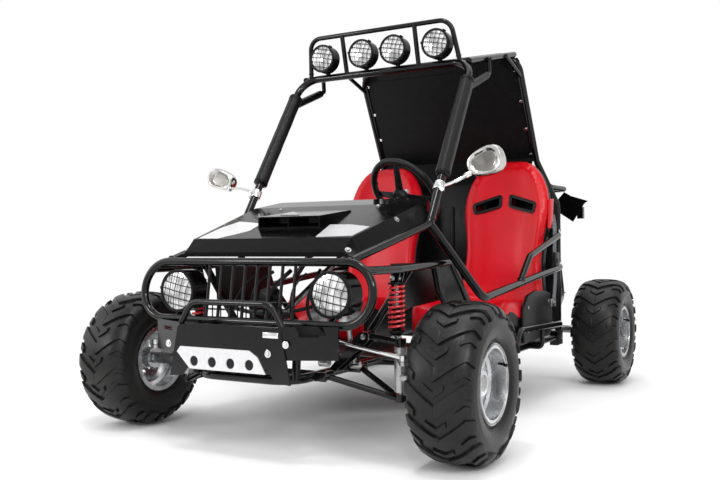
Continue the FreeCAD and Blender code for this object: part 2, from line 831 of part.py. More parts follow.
def grille_guard():
    """The ring round the headlamps with its upright grille bars and lamp brackets."""
    heights = (s.hoop_top_z, s.hoop_low_z)
    pieces = [racetrack("guard_ring", s.hoop_half, *heights, s.hoop_top_y, s.hoop_low_y, s.side_tube)]
    count = 8
    for i in range(count):
        across = s.bar_pitch * (i - (count - 1) / 2)
        top = place(across, s.hoop_top_y, s.hoop_top_z)
        low = place(across, s.hoop_low_y, s.hoop_low_z)
        pieces.append(rod("grille_bar", low, top, s.bar_od))
    for side in (1, -1):
        low = place(s.headlamp_x * side, s.hoop_low_y, s.hoop_low_z)
        lamp_y = s.headlamp_y + s.headlamp_depth / 2
        seat = place(s.headlamp_x * side, lamp_y, s.headlamp_z - s.headlamp_od / 2)
        pieces.append(rod("lamp_stem", low, seat + Vector(0, 0, float(s.plate)), s.light_tube))
    return finish("grille_guard", weld("grille_guard_weld", pieces))


def headlamps():
    shells = []
    lenses = []
    forward = Vector(0, -1, 0)
    for side in (1, -1):
        centre = place(s.headlamp_x * side, s.headlamp_y, s.headlamp_z)
        shell_middle = shifted(centre, 0.0, s.headlamp_depth / 2)
        shell = disc("headlamp_shell", shell_middle, forward, s.headlamp_od, s.headlamp_depth)
        recess = disc("headlamp_recess", centre, forward, s.headlamp_lens + s.seat_gap * 2, s.lens_depth * 2)
        shells.append(cut("headlamp_body", shell, [recess, nodes["grille_guard"]]))
        middle = centre + Vector(0, float(s.lens_depth) / 2, 0)
        lenses.append(disc("headlamp_glass", middle, forward, s.headlamp_lens, s.lens_depth))
    finish("headlamp_shells", group("headlamp_shell_pair", shells))
    finish("headlamp_lenses", group("headlamp_lens_pair", lenses))


def roof_lamps():
    """Four driving lamps on short stems that stand on the header tube."""
    shells = []
    lenses = []
    forward = Vector(0, -1, 0)
    for across in (s.roof_lamp_outer_x, s.roof_lamp_inner_x, -s.roof_lamp_inner_x, -s.roof_lamp_outer_x):
        centre = place(across, s.roof_lamp_y, s.roof_lamp_z)
        shell_middle = shifted(centre, 0.0, s.roof_lamp_depth / 2)
        shell = disc("roof_lamp_shell", shell_middle, forward, s.roof_lamp_od, s.roof_lamp_depth)
        recess_od = s.roof_lamp_lens + s.seat_gap * 2
        recess = disc("roof_lamp_recess", centre, forward, recess_od, s.lens_depth * 2)
        foot = place(across, s.pillar_top_y, s.pillar_top_z)
        stem = rod("roof_lamp_stem", shell_middle, foot, s.light_tube)
        body = cut("roof_lamp_body", weld("roof_lamp_weld", [shell, stem]), [recess])
        shells.append(body)
        lens_middle = shifted(centre, 0.0, s.lens_depth / 2)
        lenses.append(disc("roof_lamp_glass", lens_middle, forward, s.roof_lamp_lens, s.lens_depth))
    row = cut("roof_lamp_row", weld("roof_lamp_set", shells), [nodes["roll_cage"]])
    finish("roof_lamp_shells", row)
    finish("roof_lamp_lenses", group("roof_lamp_lens_row", lenses))


def light_rack():
    """The bent guard over the roof lamps."""
    path = [spot("rack_foot"), spot("rack_top"), spot("rack_top", -1), spot("rack_foot", -1)]
    pieces = [tube("rack_hoop", path, s.light_tube, s.side_bend)]
    for side in (1, -1):
        across = (s.roof_lamp_inner_x + s.roof_lamp_outer_x) / 2 * side
        low = place(across, s.rack_foot_y, s.rack_foot_z)
        high = place(across, s.rack_top_y, s.rack_top_z)
        pieces.append(rod("rack_post", low, high, s.light_tube))
    return finish("light_rack", cut("light_rack_cut", weld("light_rack_weld", pieces), [nodes["roll_cage"]]))


def ring_spot(z, side):
    """The point of the grille guard's round end at a height."""
    rise = float(s.hoop_top_z - s.hoop_low_z)
    lean = math.hypot(rise, float(s.hoop_top_y - s.hoop_low_y))
    share = float(z - s.hoop_low_z) / rise
    radius = lean / 2
    along = (share - 0.5) * lean
    x = float(s.hoop_half) - radius + math.sqrt(radius * radius - along * along)
    y = s.hoop_low_y + (s.hoop_top_y - s.hoop_low_y) * share
    point = place(ZERO, y, z)
    return Vector(x * side, point.y, point.z)


def side_guards():
    """The rail past each front shock that bends down to the floor, and the inner leg beside it."""
    pieces = []
    for side in (1, -1):
        names = ("guard_mid", "guard_high", "guard_low", "guard_foot")
        outer = [ring_spot(s.guard_mid_z, side)] + [spot(n, side) for n in names]
        inner = [spot(n, side) for n in ("inner_high", "inner_low", "inner_foot")]
        rail = tube("guard_rail", outer, s.side_tube, s.side_bend)
        leg = tube("guard_leg", inner, s.side_tube, s.side_bend)
        pieces += [rail, leg]
    tools = [nodes["floor_frame"], nodes["grille_guard"]]
    return finish("side_guards", cut("side_guard_cut", weld("side_guard_weld", pieces), tools))


def side_panels():
    """Flat plates between the two legs of each side guard."""
    plates = []
    low_share = 0.12
    for side in (1, -1):
        high_front = spot("inner_high", side)
        high_back = spot("guard_high", side)
        low_front = between(spot("inner_foot", side), spot("inner_low", side), low_share)
        low_back = between(spot("guard_foot", side), spot("guard_low", side), low_share)
        lean = Vector(-side * float(s.panel), 0, 0)
        corners = [high_front, high_back, low_back, low_front]
        x = min(abs(c.x) for c in corners) * side
        plates.append(prism("side_plate", [Vector(x, c.y, c.z) for c in corners], lean))
    tools = [nodes["side_guards"], nodes["floor_frame"]]
    return finish("side_panels", cut("side_panel_cut", weld("side_panel_pair", plates), tools))


def sill_bars():
    """The diagonal from each pillar foot past the seat to the rear hoop, the arm rail and the step rail."""
    pieces = []
    for side in (1, -1):
        names = ("step_front", "step_out", "step_bend_front", "step_bend_rear", "step_rear")
        pieces.append(tube("step_rail", [spot(n, side) for n in names], s.side_tube, s.side_bend))
        prop = spot("step_prop", side)
        front = spot("step_bend_front", side)
        rear = spot("step_bend_rear", side)
        prop_top = between(front, rear, (prop.y - front.y) / (rear.y - front.y))
        corner = Vector(prop_top.x, prop.y, prop.z)
        pieces.append(tube("step_prop", [prop, corner, prop_top], s.light_tube, s.light_tube))
        sill = [spot(n, side) for n in ("pillar_foot", "sill_front", "sill_rear", "sill_end")]
        arm = [spot(n, side) for n in ("arm_front", "arm_low", "arm_high", "arm_end")]
        pieces.append(tube("sill", sill, s.main_tube, s.side_bend))
        pieces.append(tube("arm_rail", arm, s.side_tube, s.side_bend))
    tools = [nodes[n] for n in ("roll_cage", "side_guards", "front_frame", "floor_frame")]
    return finish("sill_bars", cut("sill_bar_cut", weld("sill_bar_weld", pieces), tools))


def rear_frame():
    """The tail: an upper carrier loop, two legs and the lower stays."""
    path = [spot("carrier_front"), spot("carrier_rear"), spot("carrier_rear", -1), spot("carrier_front", -1)]
    pieces = [tube("carrier_loop", path, s.side_tube, s.side_bend)]
    for side in (1, -1):
        rear = spot("carrier_rear", side)
        inset_share = 0.82
        top = Vector(rear.x * inset_share, rear.y, rear.z)
        leg = [top, spot("tail_low", side), spot("tail_front", side)]
        pieces.append(tube("tail_leg", leg, s.side_tube, s.side_bend))
        pieces.append(rod("shock_tie", spot("rear_shock_high", side), spot("sill_end", side), s.side_tube))
        pieces += tail_bracket(side)
    pieces.append(rod("tail_cross", spot("tail_low"), spot("tail_low", -1), s.side_tube))
    pieces += rear_shock_ears()
    pieces.append(rod("shock_cross", spot("rear_shock_high"), spot("rear_shock_high", -1), s.side_tube))
    tools = [nodes[n] for n in ("roll_cage", "sill_bars")]
    return finish("rear_frame", cut("rear_frame_cut", weld("rear_frame_weld", pieces), tools))


def tail_bracket(side):
    """A three-cornered plate on the leg's top with a small lamp housing under its outer end."""
    root = spot("tail_bracket", side)
    reach = float(s.tail_plate)
    plate_shares = [
        (-0.78, -0.31), (-0.2, 0.34), (0.23, 0.08), (1.33, -0.28), (1.1, -0.44), (0.36, -1.6), (-0.86, -0.78),
    ]
    lamp_share_x, lamp_share_z = 0.81, -1.03
    corners = [shifted(root, reach * a * side, -s.plate / 2, reach * b) for a, b in plate_shares]
    lamp = shifted(root, reach * lamp_share_x * side, s.tail_lamp / 2, reach * lamp_share_z)
    return [
        prism("tail_plate", corners, Vector(0, float(s.plate), 0)),
        block("tail_lamp", lamp, s.tail_lamp, s.tail_lamp, s.tail_lamp * 2),
    ]


def rear_shock_top(side):
    """The centre of the rear shock's upper eye, below its cross tube."""
    return spot("rear_shock_high", side) - Vector(0, 0, float(s.side_tube + s.light_tube))


def rear_shock_ears():
    """Pairs of ears with a bolt that hang from the cross tube over each rear shock."""
    ears = []
    apart = float(s.shock_eye_width / 2 + s.running_gap + s.plate / 2)
    for side in (1, -1):
        pin = rear_shock_top(side)
        height = s.side_tube + s.light_tube + s.shock_eye / 2
        middle = pin + Vector(0, 0, float(s.side_tube + s.light_tube - s.shock_eye / 2) / 2)
        for face in (1, -1):
            ears.append(block("rear_ear", middle + Vector(apart * face, 0, 0), s.plate, s.shock_eye, height))
        reach = Vector(apart, 0, 0)
        ears.append(rod("rear_shock_bolt", pin - reach, pin + reach, s.arm_bolt))
    return ears


def floor_pan():
    """The sheet that the feet rest on, between the rails."""
    level = s.floor_z + s.main_tube / 2 + s.seat_gap
    half = s.floor_half
    front = spot("floor_front").y
    seat_front_share = 0.3
    rear = between(spot("floor_front"), spot("floor_rear"), seat_front_share).y + float(s.main_tube)
    nose = spot("nose_bend").y
    z = float(level)
    wide = float(half)
    narrow = float(s.nose_half)
    corners = [
        Vector(narrow, nose, z),
        Vector(wide, front, z),
        Vector(wide, rear, z),
        Vector(-wide, rear, z),
        Vector(-wide, front, z),
        Vector(-narrow, nose, z),
    ]
    plate = prism("floor_plate", corners, Vector(0, 0, float(s.panel)))
    tools = [nodes[n] for n in ("floor_frame", "side_guards", "side_panels")]
    return finish("floor_pan", cut("floor_pan_cut", plate, tools))


def bumper():
    """A folded plate bumper with two fangs, side wings swept back and a small hoop over it."""
    half = s.nose_half
    y = s.bumper_y
    z = s.bull_foot_z
    drop = z - s.nose_z
    outline_shares = [
        (0.0, 1.0), (0.98, 0.96), (1.03, 0.92), (1.2, 0.0), (0.93, 0.02), (0.76, 0.26), (0.7, 0.18),
        (0.0, 0.14),
    ]
    right = [(half * a, s.nose_z + drop * b) for a, b in outline_shares]
    left = [(-a, b) for a, b in reversed(right[1:-1])]
    face = [place(a, y, b) for a, b in right + left]
    pieces = [prism("bumper_face", face, Vector(0, float(s.plate), 0))]
    wing_low_share = 0.42
    overlap = s.plate / 2
    low = s.nose_z + drop * wing_low_share
    rise = Vector(0, 0, float(z - low))
    for side in (1, -1):
        plan = [
            place((half - overlap) * side, y, low),
            place(s.wing_half * side, y + s.wing_back, low),
            place(s.wing_half * side, y + s.wing_back + s.plate, low),
            place((half - overlap) * side, y + s.plate, low),
        ]
        pieces.append(prism("bumper_wing", plan, rise))
        reach = s.upright_low_y - y - s.plate
        middle = place((half - s.plate) * side, y + s.plate + reach / 2, z - s.main_tube)
        pieces.append(block("bumper_stay", middle, s.plate, reach + overlap, s.main_tube))
    names = ["bull_foot", "bull_corner"]
    hoop = [spot(n) for n in names] + [spot(n, -1) for n in reversed(names)]
    pieces.append(tube("bull_hoop", hoop, s.light_tube, s.side_bend))
    top = s.upright_low_y - y
    top_share = 1.9
    level = place(ZERO, y + top / 2, z - s.plate - s.plate / 2)
    pieces.append(block("bumper_top", level, half * top_share, top, s.plate))
    tools = [nodes[n] for n in ("floor_frame", "front_frame", "grille_guard")] + flange_slots(level)
    return finish("bumper", cut("bumper_cut", weld("bumper_weld", pieces), tools))


def flange_slots(level):
    """The row of slots in the bumper's upper flange and the one in each wing."""
    count = 6
    pitch = s.nose_half * 2 / (count + 1)
    slots = []
    for i in range(count):
        middle = shifted(level, pitch * (i - (count - 1) / 2), s.flange_slot / 2)
        slots.append(block("flange_slot", middle, pitch * SLOT_SHARE, s.flange_slot * 2, s.plate * 2))
    for side in (1, -1):
        across = (s.nose_half + s.wing_half) / 2
        along = s.bumper_y + s.wing_back / 2
        middle = place(across * side, along, s.bull_foot_z - s.flange_slot * 2)
        slots.append(block("wing_slot", middle, pitch, s.wing_back, s.flange_slot))
    return slots


def bumper_insert():
    """The bright plate on the bumper's face with four round holes."""
    low_share = 0.16
    tall_share = 0.4
    low = s.nose_z + (s.bull_foot_z - s.nose_z) * low_share
    tall = (s.bull_foot_z - s.nose_z) * tall_share
    half = s.nose_half
    shares = [(-0.76, 0.0), (0.75, 0.0), (0.6, 0.72), (0.44, 1.0), (-0.96, 1.0), (-1.03, 0.75)]
    y = s.bumper_y - s.panel
    outline = [place(half * a, y, low + tall * b) for a, b in shares]
    plate = prism("insert_plate", outline, Vector(0, float(s.panel), 0))
    hole_shares = (-0.67, -0.3, 0.07, 0.44)
    level_share = 0.36
    level = low + tall * level_share
    tools = []
    for a in hole_shares:
        centre = place(half * a, y, level)
        tools.append(disc("insert_hole", centre, Vector(0, 1, 0), s.insert_hole, s.panel * 4))
    return finish("bumper_insert", cut("insert_cut", plate, tools))


def hood():
    """A folded shell over the nose: slanted fascia, flat top, sloped sides and a curved cowl edge."""
    outer = hood_solid("hood_outer", ZERO)
    inner = hood_solid("hood_inner", s.hood_wall)
    shell = cut("hood_shell", outer, [inner])
    tools = [nodes[n] for n in ("front_frame", "grille_guard", "roll_cage")]
    return finish("hood", cut("hood_cut", shell, tools))


def hood_solid(name, inset):
    """The hood's form as a loft, or the hollow under it when inset."""
    step = float(inset)
    stations = [
        (s.hood_nose_y, s.hood_nose_half, s.hood_nose_low_z, s.hood_nose_z),
        (s.hood_brow_y, s.hood_brow_half, s.hood_nose_low_z, s.hood_brow_z),
        (s.hood_cowl_y, s.hood_cowl_half, s.hood_cowl_low_z, s.hood_cowl_z),
        (s.hood_rear_y, s.hood_rear_half, s.hood_cowl_low_z, s.hood_rear_z),
    ]
    top_share = 0.9
    wires = []
    for number, (y, half, low, top) in enumerate(stations):
        ahead = step if number == 0 else 0.0
        base = float(low) - (float(s.overrun) if step else 0.0)
        wide = float(half) - step
        at_y = float(y) + ahead + float(s.front_axle_y)
        points = [
            Vector(wide, at_y, base),
            Vector(wide * top_share, at_y, float(top) - step),
            Vector(-wide * top_share, at_y, float(top) - step),
            Vector(-wide, at_y, base),
        ]
        wires.append(Part.makePolygon(points + points[:1]))
    item = doc.addObject("Part::Feature", name)
    item.Shape = Part.makeLoft(wires, True, True)
    return item


def hood_scoop():
    """The raised air inlet on the hood's middle."""
    share_front, share_back = 0.28, 0.78
    run = s.hood_cowl_y - s.hood_brow_y
    rise = s.hood_cowl_z - s.hood_brow_z
    front_y = s.hood_brow_y + run * share_front
    back_y = s.hood_brow_y + run * share_back
    front_z = s.hood_brow_z + rise * share_front
    back_z = s.hood_brow_z + rise * share_back
    half = s.scoop_half
    side = [
        place(-half, front_y, front_z),
        place(-half, front_y, front_z + s.scoop_height),
        place(-half, back_y, back_z + s.plate),
        place(-half, back_y, back_z),
    ]
    body = prism("scoop_body", side, Vector(float(half) * 2, 0, 0))
    depth_share = 0.3
    wide = half - s.plate - s.plate / 2
    tools = []
    for side in (1, -1):
        middle = place((wide + s.plate) / 2 * side, front_y, front_z + s.scoop_height / 2)
        tools.append(block("scoop_mouth", middle, wide, run * depth_share, s.scoop_height - s.plate * 2))
    return finish("hood_scoop", cut("scoop_cut", body, tools + [nodes["hood"]]))


def on_pillar(name, side):
    """The point of the windscreen pillar's axis nearest to a skeleton point."""
    foot = spot("pillar_foot", side)
    line = (spot("pillar_top", side) - foot).normalize()
    return foot + line * (spot(name, side) - foot).dot(line)


def pillar_pads():
    """Foam sleeves round the windscreen pillars."""
    pads = []
    for side in (1, -1):
        low = on_pillar("pad_low", side)
        high = on_pillar("pad_high", side)
        line = (high - low).normalize()
        sleeve = rod("pad_sleeve", low, high, s.pad_od)
        past = line * float(s.overrun)
        bore = rod("pad_bore", low - past, high + past, s.main_tube + s.seat_gap * 2)
        pads.append(cut("pad_cut", sleeve, [bore]))
    return finish("pillar_pads", group("pillar_pad_pair", pads))


def grab_handles():
    """A padded bar across each upper corner of the door opening."""
    bars = []
    low_share = 0.08
    high_share = 0.94
    sleeves = []
    for side in (1, -1):
        low, bend, high = (spot(n, side) for n in ("grab_low", "grab_bend", "grab_high"))
        pad_low = on_pillar("pad_low", side)
        sleeves.append(rod("pad_space", pad_low, on_pillar("pad_high", side), s.pad_od + s.seat_gap * 2))
        bars.append(tube("grab_bar", [low, bend, high], s.light_tube, s.light_tube))
        grip_low = between(low, bend, low_share)
        bars.append(rod("grab_grip", grip_low, between(low, bend, high_share), s.grab_od))
    tools = [nodes["roll_cage"]] + sleeves
    return finish("grab_handles", cut("grab_cut", weld("grab_weld", bars), tools))


def roof_panels():
    """The roof sheet between the rails and the back sheet inside the rear hoop."""
    thick = float(s.panel)
    corner_share = 0.12
    sheets = []
    sheet_lines = [
        ("roof_sheet", "pillar_top", "roof_rear", 0.04, 0.93),
        ("back_sheet", "roof_rear", "hoop_knee", 0.1, 0.97),
    ]
    for name, start_name, end_name, first_share, last_share in sheet_lines:
        start = spot(start_name)
        end = spot(end_name)
        line = end - start
        first = start + line * first_share
        last = start + line * last_share
        normal = Vector(1, 0, 0).cross(line).normalize()
        half = min(start.x, end.x) - float(s.main_tube) / 2
        nick = line * corner_share
        step = Vector(half * corner_share, 0, 0)
        middle_first = Vector(half, first.y, first.z)
        middle_last = Vector(half, last.y, last.z)
        right = [middle_first - step, middle_first + nick, middle_last - nick, middle_last - step]
        left = [Vector(-p.x, p.y, p.z) for p in reversed(right)]
        sheets.append(prism(name, [p - normal * (thick / 2) for p in right + left], normal * thick))
    set_of = weld("roof_sheet_set", sheets)
    return finish("roof_panels", cut("roof_panel_cut", set_of, [nodes["roll_cage"], nodes["grab_handles"]]))


def mirrors():
    """A teardrop mirror on a bent arm clamped to each pillar; the one on the right stands further out."""
    pair = []
    arms = {
        1: ("mirror_elbow", "mirror_neck", "mirror_head"),
        -1: ("far_mirror_elbow", "far_mirror_neck", "far_mirror_head"),
    }
    for side in (1, -1):
        clamp = on_pillar("mirror_clamp", side)
        line = (spot("pillar_top", side) - clamp).normalize()
        half = line * (float(s.light_tube) / 2)
        ring = rod("mirror_ring", clamp - half, clamp + half, s.main_tube + s.plate * 2)
        elbow, neck, head = (spot(n, side) for n in arms[side])
        route = [clamp, elbow, neck, shifted(head, 0.0, s.mirror_depth / 2)]
        arm = tube("mirror_arm", route, s.mirror_arm, s.mirror_arm)
        past = line * float(s.overrun)
        bore = rod("mirror_bore", clamp - past, clamp + past, s.main_tube + s.seat_gap)
        pair.append(cut("mirror_cut", weld("mirror_weld", [ring, arm, mirror_head(head, side)]), [bore]))
    return finish("mirrors", group("mirror_pair", pair))


def mirror_head(centre, side):
    """The mirror's shell: a flat face to the rear and rounded steps towards the front."""
    outline_shares = [
        (-0.5, -0.42), (-0.12, -0.5), (0.2, -0.44), (0.42, -0.24), (0.5, 0.06), (0.46, 0.34),
        (0.3, 0.48), (0.04, 0.5), (-0.2, 0.42), (-0.38, 0.22), (-0.48, -0.06),
    ]
    depth_shares = [(0.0, 1.0), (0.35, 0.96), (0.75, 0.74), (1.0, 0.34)]
    rows = []
    for depth, scale in depth_shares:
        y = float(s.mirror_depth) * (1 - depth)
        wide = float(s.mirror_width) * scale * side
        tall = float(s.mirror_height) * scale
        rows.append([shifted(centre, wide * a, y, tall * b) for a, b in outline_shares])
    faces = [rows[0], rows[-1]]
    for low, high in zip(rows, rows[1:]):
        faces += strip(low, high)
    return faceted("mirror_shell", faces)


def seats():
    """Bucket seats: the side profile pushed across, cut to the front outline and dished in the middle."""
    base = s.floor_z + s.main_tube / 2 + s.panel + s.seat_gap * 2
    run = s.seat_back_y - s.seat_front_y
    tall = s.seat_top_z - base
    inner_share, slot_share, slot_width_share, slot_level_share = 0.72, 0.38, 0.42, 0.2
    side_shares = [
        (0.0, 0.05), (-0.02, 0.2), (0.05, 0.245), (0.62, 0.19), (0.72, 0.22), (0.8, 0.6), (0.9, 0.99),
        (0.955, 1.0), (1.0, 0.97), (0.9, 0.32), (0.84, 0.0), (0.06, 0.0),
    ]
    front_shares = [
        (0.94, 0.0), (1.0, 0.12), (1.0, 0.3), (0.86, 0.42), (0.9, 0.56), (1.0, 0.7), (0.93, 0.82),
        (0.7, 0.94), (0.42, 1.0),
    ]
    well_shares = [
        (0.0, 0.3), (-0.3, 0.3), (-0.3, 1.1), (0.86, 1.1), (0.78, 0.7), (0.68, 0.24), (0.6, 0.215),
        (0.05, 0.27),
    ]
    for side, hand in ((1, "left"), (-1, "right")):
        middle = s.seat_x * side
        half = s.seat_half
        profile = [place(middle - half, s.seat_front_y + run * a, base + tall * b) for a, b in side_shares]
        body = prism("seat_side", profile, Vector(float(half) * 2, 0, 0))
        mirrored = [(-a, b) for a, b in reversed(front_shares)]
        start = s.seat_front_y - s.overrun
        outline = [place(middle + half * a, start, base + tall * b) for a, b in front_shares + mirrored]
        front = prism("seat_front", outline, Vector(0, float(run + s.overrun * 2), 0))
        shape = doc.addObject("Part::Common", "seat_form")
        shape.Base = body
        shape.Tool = front
        inner = half * inner_share
        deep = run - s.seat_pad
        well = [place(middle - inner, s.seat_front_y + deep * a, base + tall * b) for a, b in well_shares]
        dish = prism("seat_well", well, Vector(float(inner) * 2, 0, 0))
        tools = [dish]
        for hole in (1, -1):
            level = s.seat_top_z - tall * slot_level_share
            centre = place(middle + half * slot_share * hole, s.seat_back_y - s.seat_pad, level)
            width = half * slot_width_share
            tools.append(block("belt_slot", centre, width, s.seat_pad * 6, s.light_tube * 2))
        finish("seat_" + hand, cut("seat_cut", shape, tools))


def engine():
    """The engine as a plain case on two feet, with the muffler and its pipe behind it."""
    length = s.engine_length
    case_middle = place(ZERO, s.engine_y + length / 2, s.engine_low_z + s.engine_height / 2)
    pieces = [block("engine_case", case_middle, s.engine_half * 2, length, s.engine_height)]
    foot_height = s.engine_low_z - s.floor_z
    foot_share = 0.8
    for name, y in (("front", s.swing_pivot_y), ("rear", s.engine_y + length * ENGINE_FOOT_SHARE)):
        foot_middle = place(ZERO, y, s.floor_z + foot_height / 2)
        foot_length = s.side_tube * foot_share
        pieces.append(block("engine_foot_" + name, foot_middle, s.engine_half, foot_length, foot_height))
    finish("engine", cut("engine_cut", weld("engine_weld", pieces), [nodes["floor_frame"]]))
    centre = place(ZERO, s.muffler_y, s.muffler_z)
    half = s.muffler_length / 2
    can = rod("muffler_can", shifted(centre, -half), shifted(centre, half), s.muffler_od)
    pipe_end = Vector(centre.x, case_middle.y + float(length / 2 + s.seat_gap), centre.z)
    pipe = rod("muffler_pipe", centre, pipe_end, s.main_tube)
    finish("muffler", weld("muffler_weld", [can, pipe]))


def knuckles():
    """Each steering knuckle: the kingpin tube and pin, the spindle and the steering arm with its stud."""
    for side, hand in ((1, "left"), (-1, "right")):
        low = place(s.king_x * side, ZERO, s.king_low_z - s.ball_boss_height / 2)
        high = place(s.king_x * side, ZERO, s.king_high_z + s.ball_boss_height / 2)
        body_low = place(s.king_x * side, ZERO, s.king_low_z + s.ball_boss_height / 2 + s.boss_gap * 3)
        body_high = place(s.king_x * side, ZERO, s.king_high_z - s.ball_boss_height / 2 - s.boss_gap)
        hub = place(s.king_x * side, ZERO, s.tyre_od / 2)
        tip = place(s.spindle_reach * side, ZERO, s.tyre_od / 2)
        shoulder = place((s.front_wheel_x - s.hub_length / 2 - s.boss_gap) * side, ZERO, s.tyre_od / 2)
        eye = place(s.arm_eye_x * side, s.arm_eye_y, s.arm_eye_z)
        root = place(s.king_x * side, ZERO, s.arm_eye_z)
        down = Vector(0, 0, -float(s.arm_plate) / 2)
        stud_top = shifted(eye, 0.0, 0.0, s.arm_plate / 2 + s.boss_gap + s.eye_height)
        pieces = [
            rod("king_pin", low, high, s.king_pin),
            rod("king_tube", body_low, body_high, s.king_tube),
            rod("spindle_shaft", hub, tip, s.spindle),
            rod("spindle_shoulder", hub, shoulder, s.spindle * 2),
            rod("eye_boss", eye + down, eye - down, s.eye_od),
            rod("eye_stud", eye + down, stud_top, s.eye_pin),
        ]
        line = (eye - root).normalize()
        wide = line.cross(Vector(0, 0, 1)) * (float(s.eye_od) / 2)
        corners = [root + wide + down, eye + wide + down, eye - wide + down, root - wide + down]
        pieces.append(prism("steering_arm", corners, -down * 2))
        finish("knuckle_" + hand, weld("knuckle_weld", pieces))


def tie_rods():
    """Each tie rod from the steering arm's stud to its joint beside the rack's end."""
    for side, hand in ((1, "left"), (-1, "right")):
        level = s.arm_eye_z + s.arm_plate / 2 + s.boss_gap + s.eye_height / 2
        eye = place(s.arm_eye_x * side, s.arm_eye_y, level)
        inner = place((s.rack_half + s.rack_end_gap + s.tie_end / 2) * side, s.rack_y, s.rack_z)
        up = Vector(0, 0, float(s.eye_height) / 2)
        joint = disc("tie_joint", inner, Vector(0, 0, 1), s.tie_end, s.tie_end_height)
        pieces = [rod("tie_bar", eye, inner, s.tie_rod), rod("tie_eye", eye - up, eye + up, s.eye_od), joint]
        bore = rod("tie_bore", eye - up * 3, eye + up * 3, s.eye_pin + s.running_gap * 2)
        finish("tie_rod_" + hand, cut("tie_rod_cut", weld("tie_rod_weld", pieces), [bore]))


def steering():
    """The steering wheel, its column and the rack bar."""
    foot, hub = column_line()
    axis = (hub - foot).normalize()
    rim_ring = grip_ring(hub, axis)
    level = Vector(0, 0, 1).cross(axis).normalize()
    down = level.cross(axis).normalize()
    reach = float(s.steering_od - s.steering_grip) / 2
    boss = disc("steering_boss", hub, axis, s.steering_grip * 3, s.steering_grip)
    pieces = [rim_ring, boss]
    for spoke in (level, -level, -down if down.z > 0 else down):
        pieces.append(rod("steering_spoke", hub, hub + spoke * reach, s.light_tube))
    bore = disc("steering_bore", hub - axis * float(s.steering_grip), axis, s.column_od, s.steering_grip * 3)
    finish("steering_wheel", cut("steering_wheel_cut", weld("steering_wheel_weld", pieces), [bore]))
    shaft_top = hub + axis * (float(s.steering_grip) / 2)
    shaft = rod("column_shaft", foot + axis * float(s.boss_gap), shaft_top, s.column_od)
    finish("steering_column", shaft)
    half = Vector(float(s.rack_half), 0, 0)
    centre = place(ZERO, s.rack_y, s.rack_z)
    finish("steering_rack", rod("rack_shaft", centre - half, centre + half, s.rack_bar))


def grip_ring(hub, axis):
    """The steering wheel's grip as a ring of flat facets."""
    steps = 36
    sides = 8
    turned = turned_to(axis)
    reach = float(s.steering_od - s.steering_grip) / 2
    grip = float(s.steering_grip) / 2
    rows = []
    for i in range(sides):
        lift = 2 * math.pi * i / sides
        out = reach + grip * math.cos(lift)
        along = grip * math.sin(lift)
        turns = [2 * math.pi * j / steps for j in range(steps)]
        row = [Vector(out * math.cos(turn), out * math.sin(turn), along) for turn in turns]
        rows.append([hub + turned.multVec(point) for point in row])
    faces = []
    for low, high in zip(rows, rows[1:] + rows[:1]):
        faces += strip(low, high)
    return faceted("steering_grip", faces)


def front_arms():
    """The lower A-arms and the upper links with their pivot bosses and ball bosses."""
    set_of = []
    for side in (1, -1):
        ball = place(s.king_x * side, ZERO, s.king_low_z)
        top_ball = place(s.king_x * side, ZERO, s.king_high_z)
        up = Vector(0, 0, float(s.ball_boss_height) / 2)
        half = Vector(0, float(s.arm_boss_length) / 2, 0)
        lower = [rod("ball_boss", ball - up, ball + up, s.ball_boss)]
        bores = [rod("ball_bore", ball - up * 3, ball + up * 3, s.king_pin + s.running_gap * 2)]
        bolt_bore = s.arm_bolt + s.running_gap * 2
        for end in (1, -1):
            pivot = place(s.arm_pivot_x * side, s.arm_pivot_y * end, s.nose_z)
            lower.append(rod("arm_boss", pivot - half, pivot + half, s.arm_boss))
            lower.append(rod("arm_tube", pivot, shifted(ball, 0.0, 0.0, -s.boss_gap * 2), s.light_tube))
            bores.append(rod("arm_bore", pivot - half * 3, pivot + half * 3, bolt_bore))
        set_of.append(cut("lower_arm_cut", weld("lower_arm_weld", lower), bores))
        link = place(s.link_pivot_x * side, ZERO, s.link_pivot_z)
        upper = [
            rod("link_boss", link - half, link + half, s.arm_boss),
            rod("link_tube", link, top_ball, s.light_tube),
            rod("top_boss", top_ball - up, top_ball + up, s.ball_boss),
        ]
        seat = place(s.shock_x * side, s.shock_y, s.shock_low_z)
        reach = Vector(0, float(s.shock_eye_width / 2 + s.plate), 0)
        upper.append(rod("shock_pin", Vector(seat.x, link.y, seat.z), seat + reach, s.arm_bolt))
        bores = [
            rod("link_bore", link - half * 3, link + half * 3, bolt_bore),
            rod("top_bore", top_ball - up * 3, top_ball + up * 3, s.king_pin + s.running_gap * 2),
        ]
        set_of.append(cut("upper_link_cut", weld("upper_link_weld", upper), bores))
    return finish("front_arms", group("front_arm_set", set_of))


def shock(name, low, high, axis):
    """A damper with its eyes and two spring cups, and the coil spring between the cups."""
    line = (high - low).normalize()
    half = axis * (float(s.shock_eye_width) / 2)
    clear = line * (float(s.shock_eye) / 2 + float(s.boss_gap) * 2)
    cup = line * float(s.spring_cup)
    pieces = [
        rod(name + "_rod", low, high, s.light_tube),
        rod(name + "_low_cup", low + clear, low + clear + cup, s.spring_od),
        rod(name + "_high_cup", high - clear - cup, high - clear, s.spring_od),
        rod(name + "_low_eye", low - half, low + half, s.shock_eye),
        rod(name + "_high_eye", high - half, high + half, s.shock_eye),
    ]
    bore = s.arm_bolt + s.running_gap * 2
    bores = [
        rod(name + "_low_bore", low - half * 3, low + half * 3, bore),
        rod(name + "_high_bore", high - half * 3, high + half * 3, bore),
    ]
    spring = coil(name + "_spring", low + clear + cup, high - clear - cup)
    return [cut(name + "_cut", weld(name + "_weld", pieces), bores), spring]


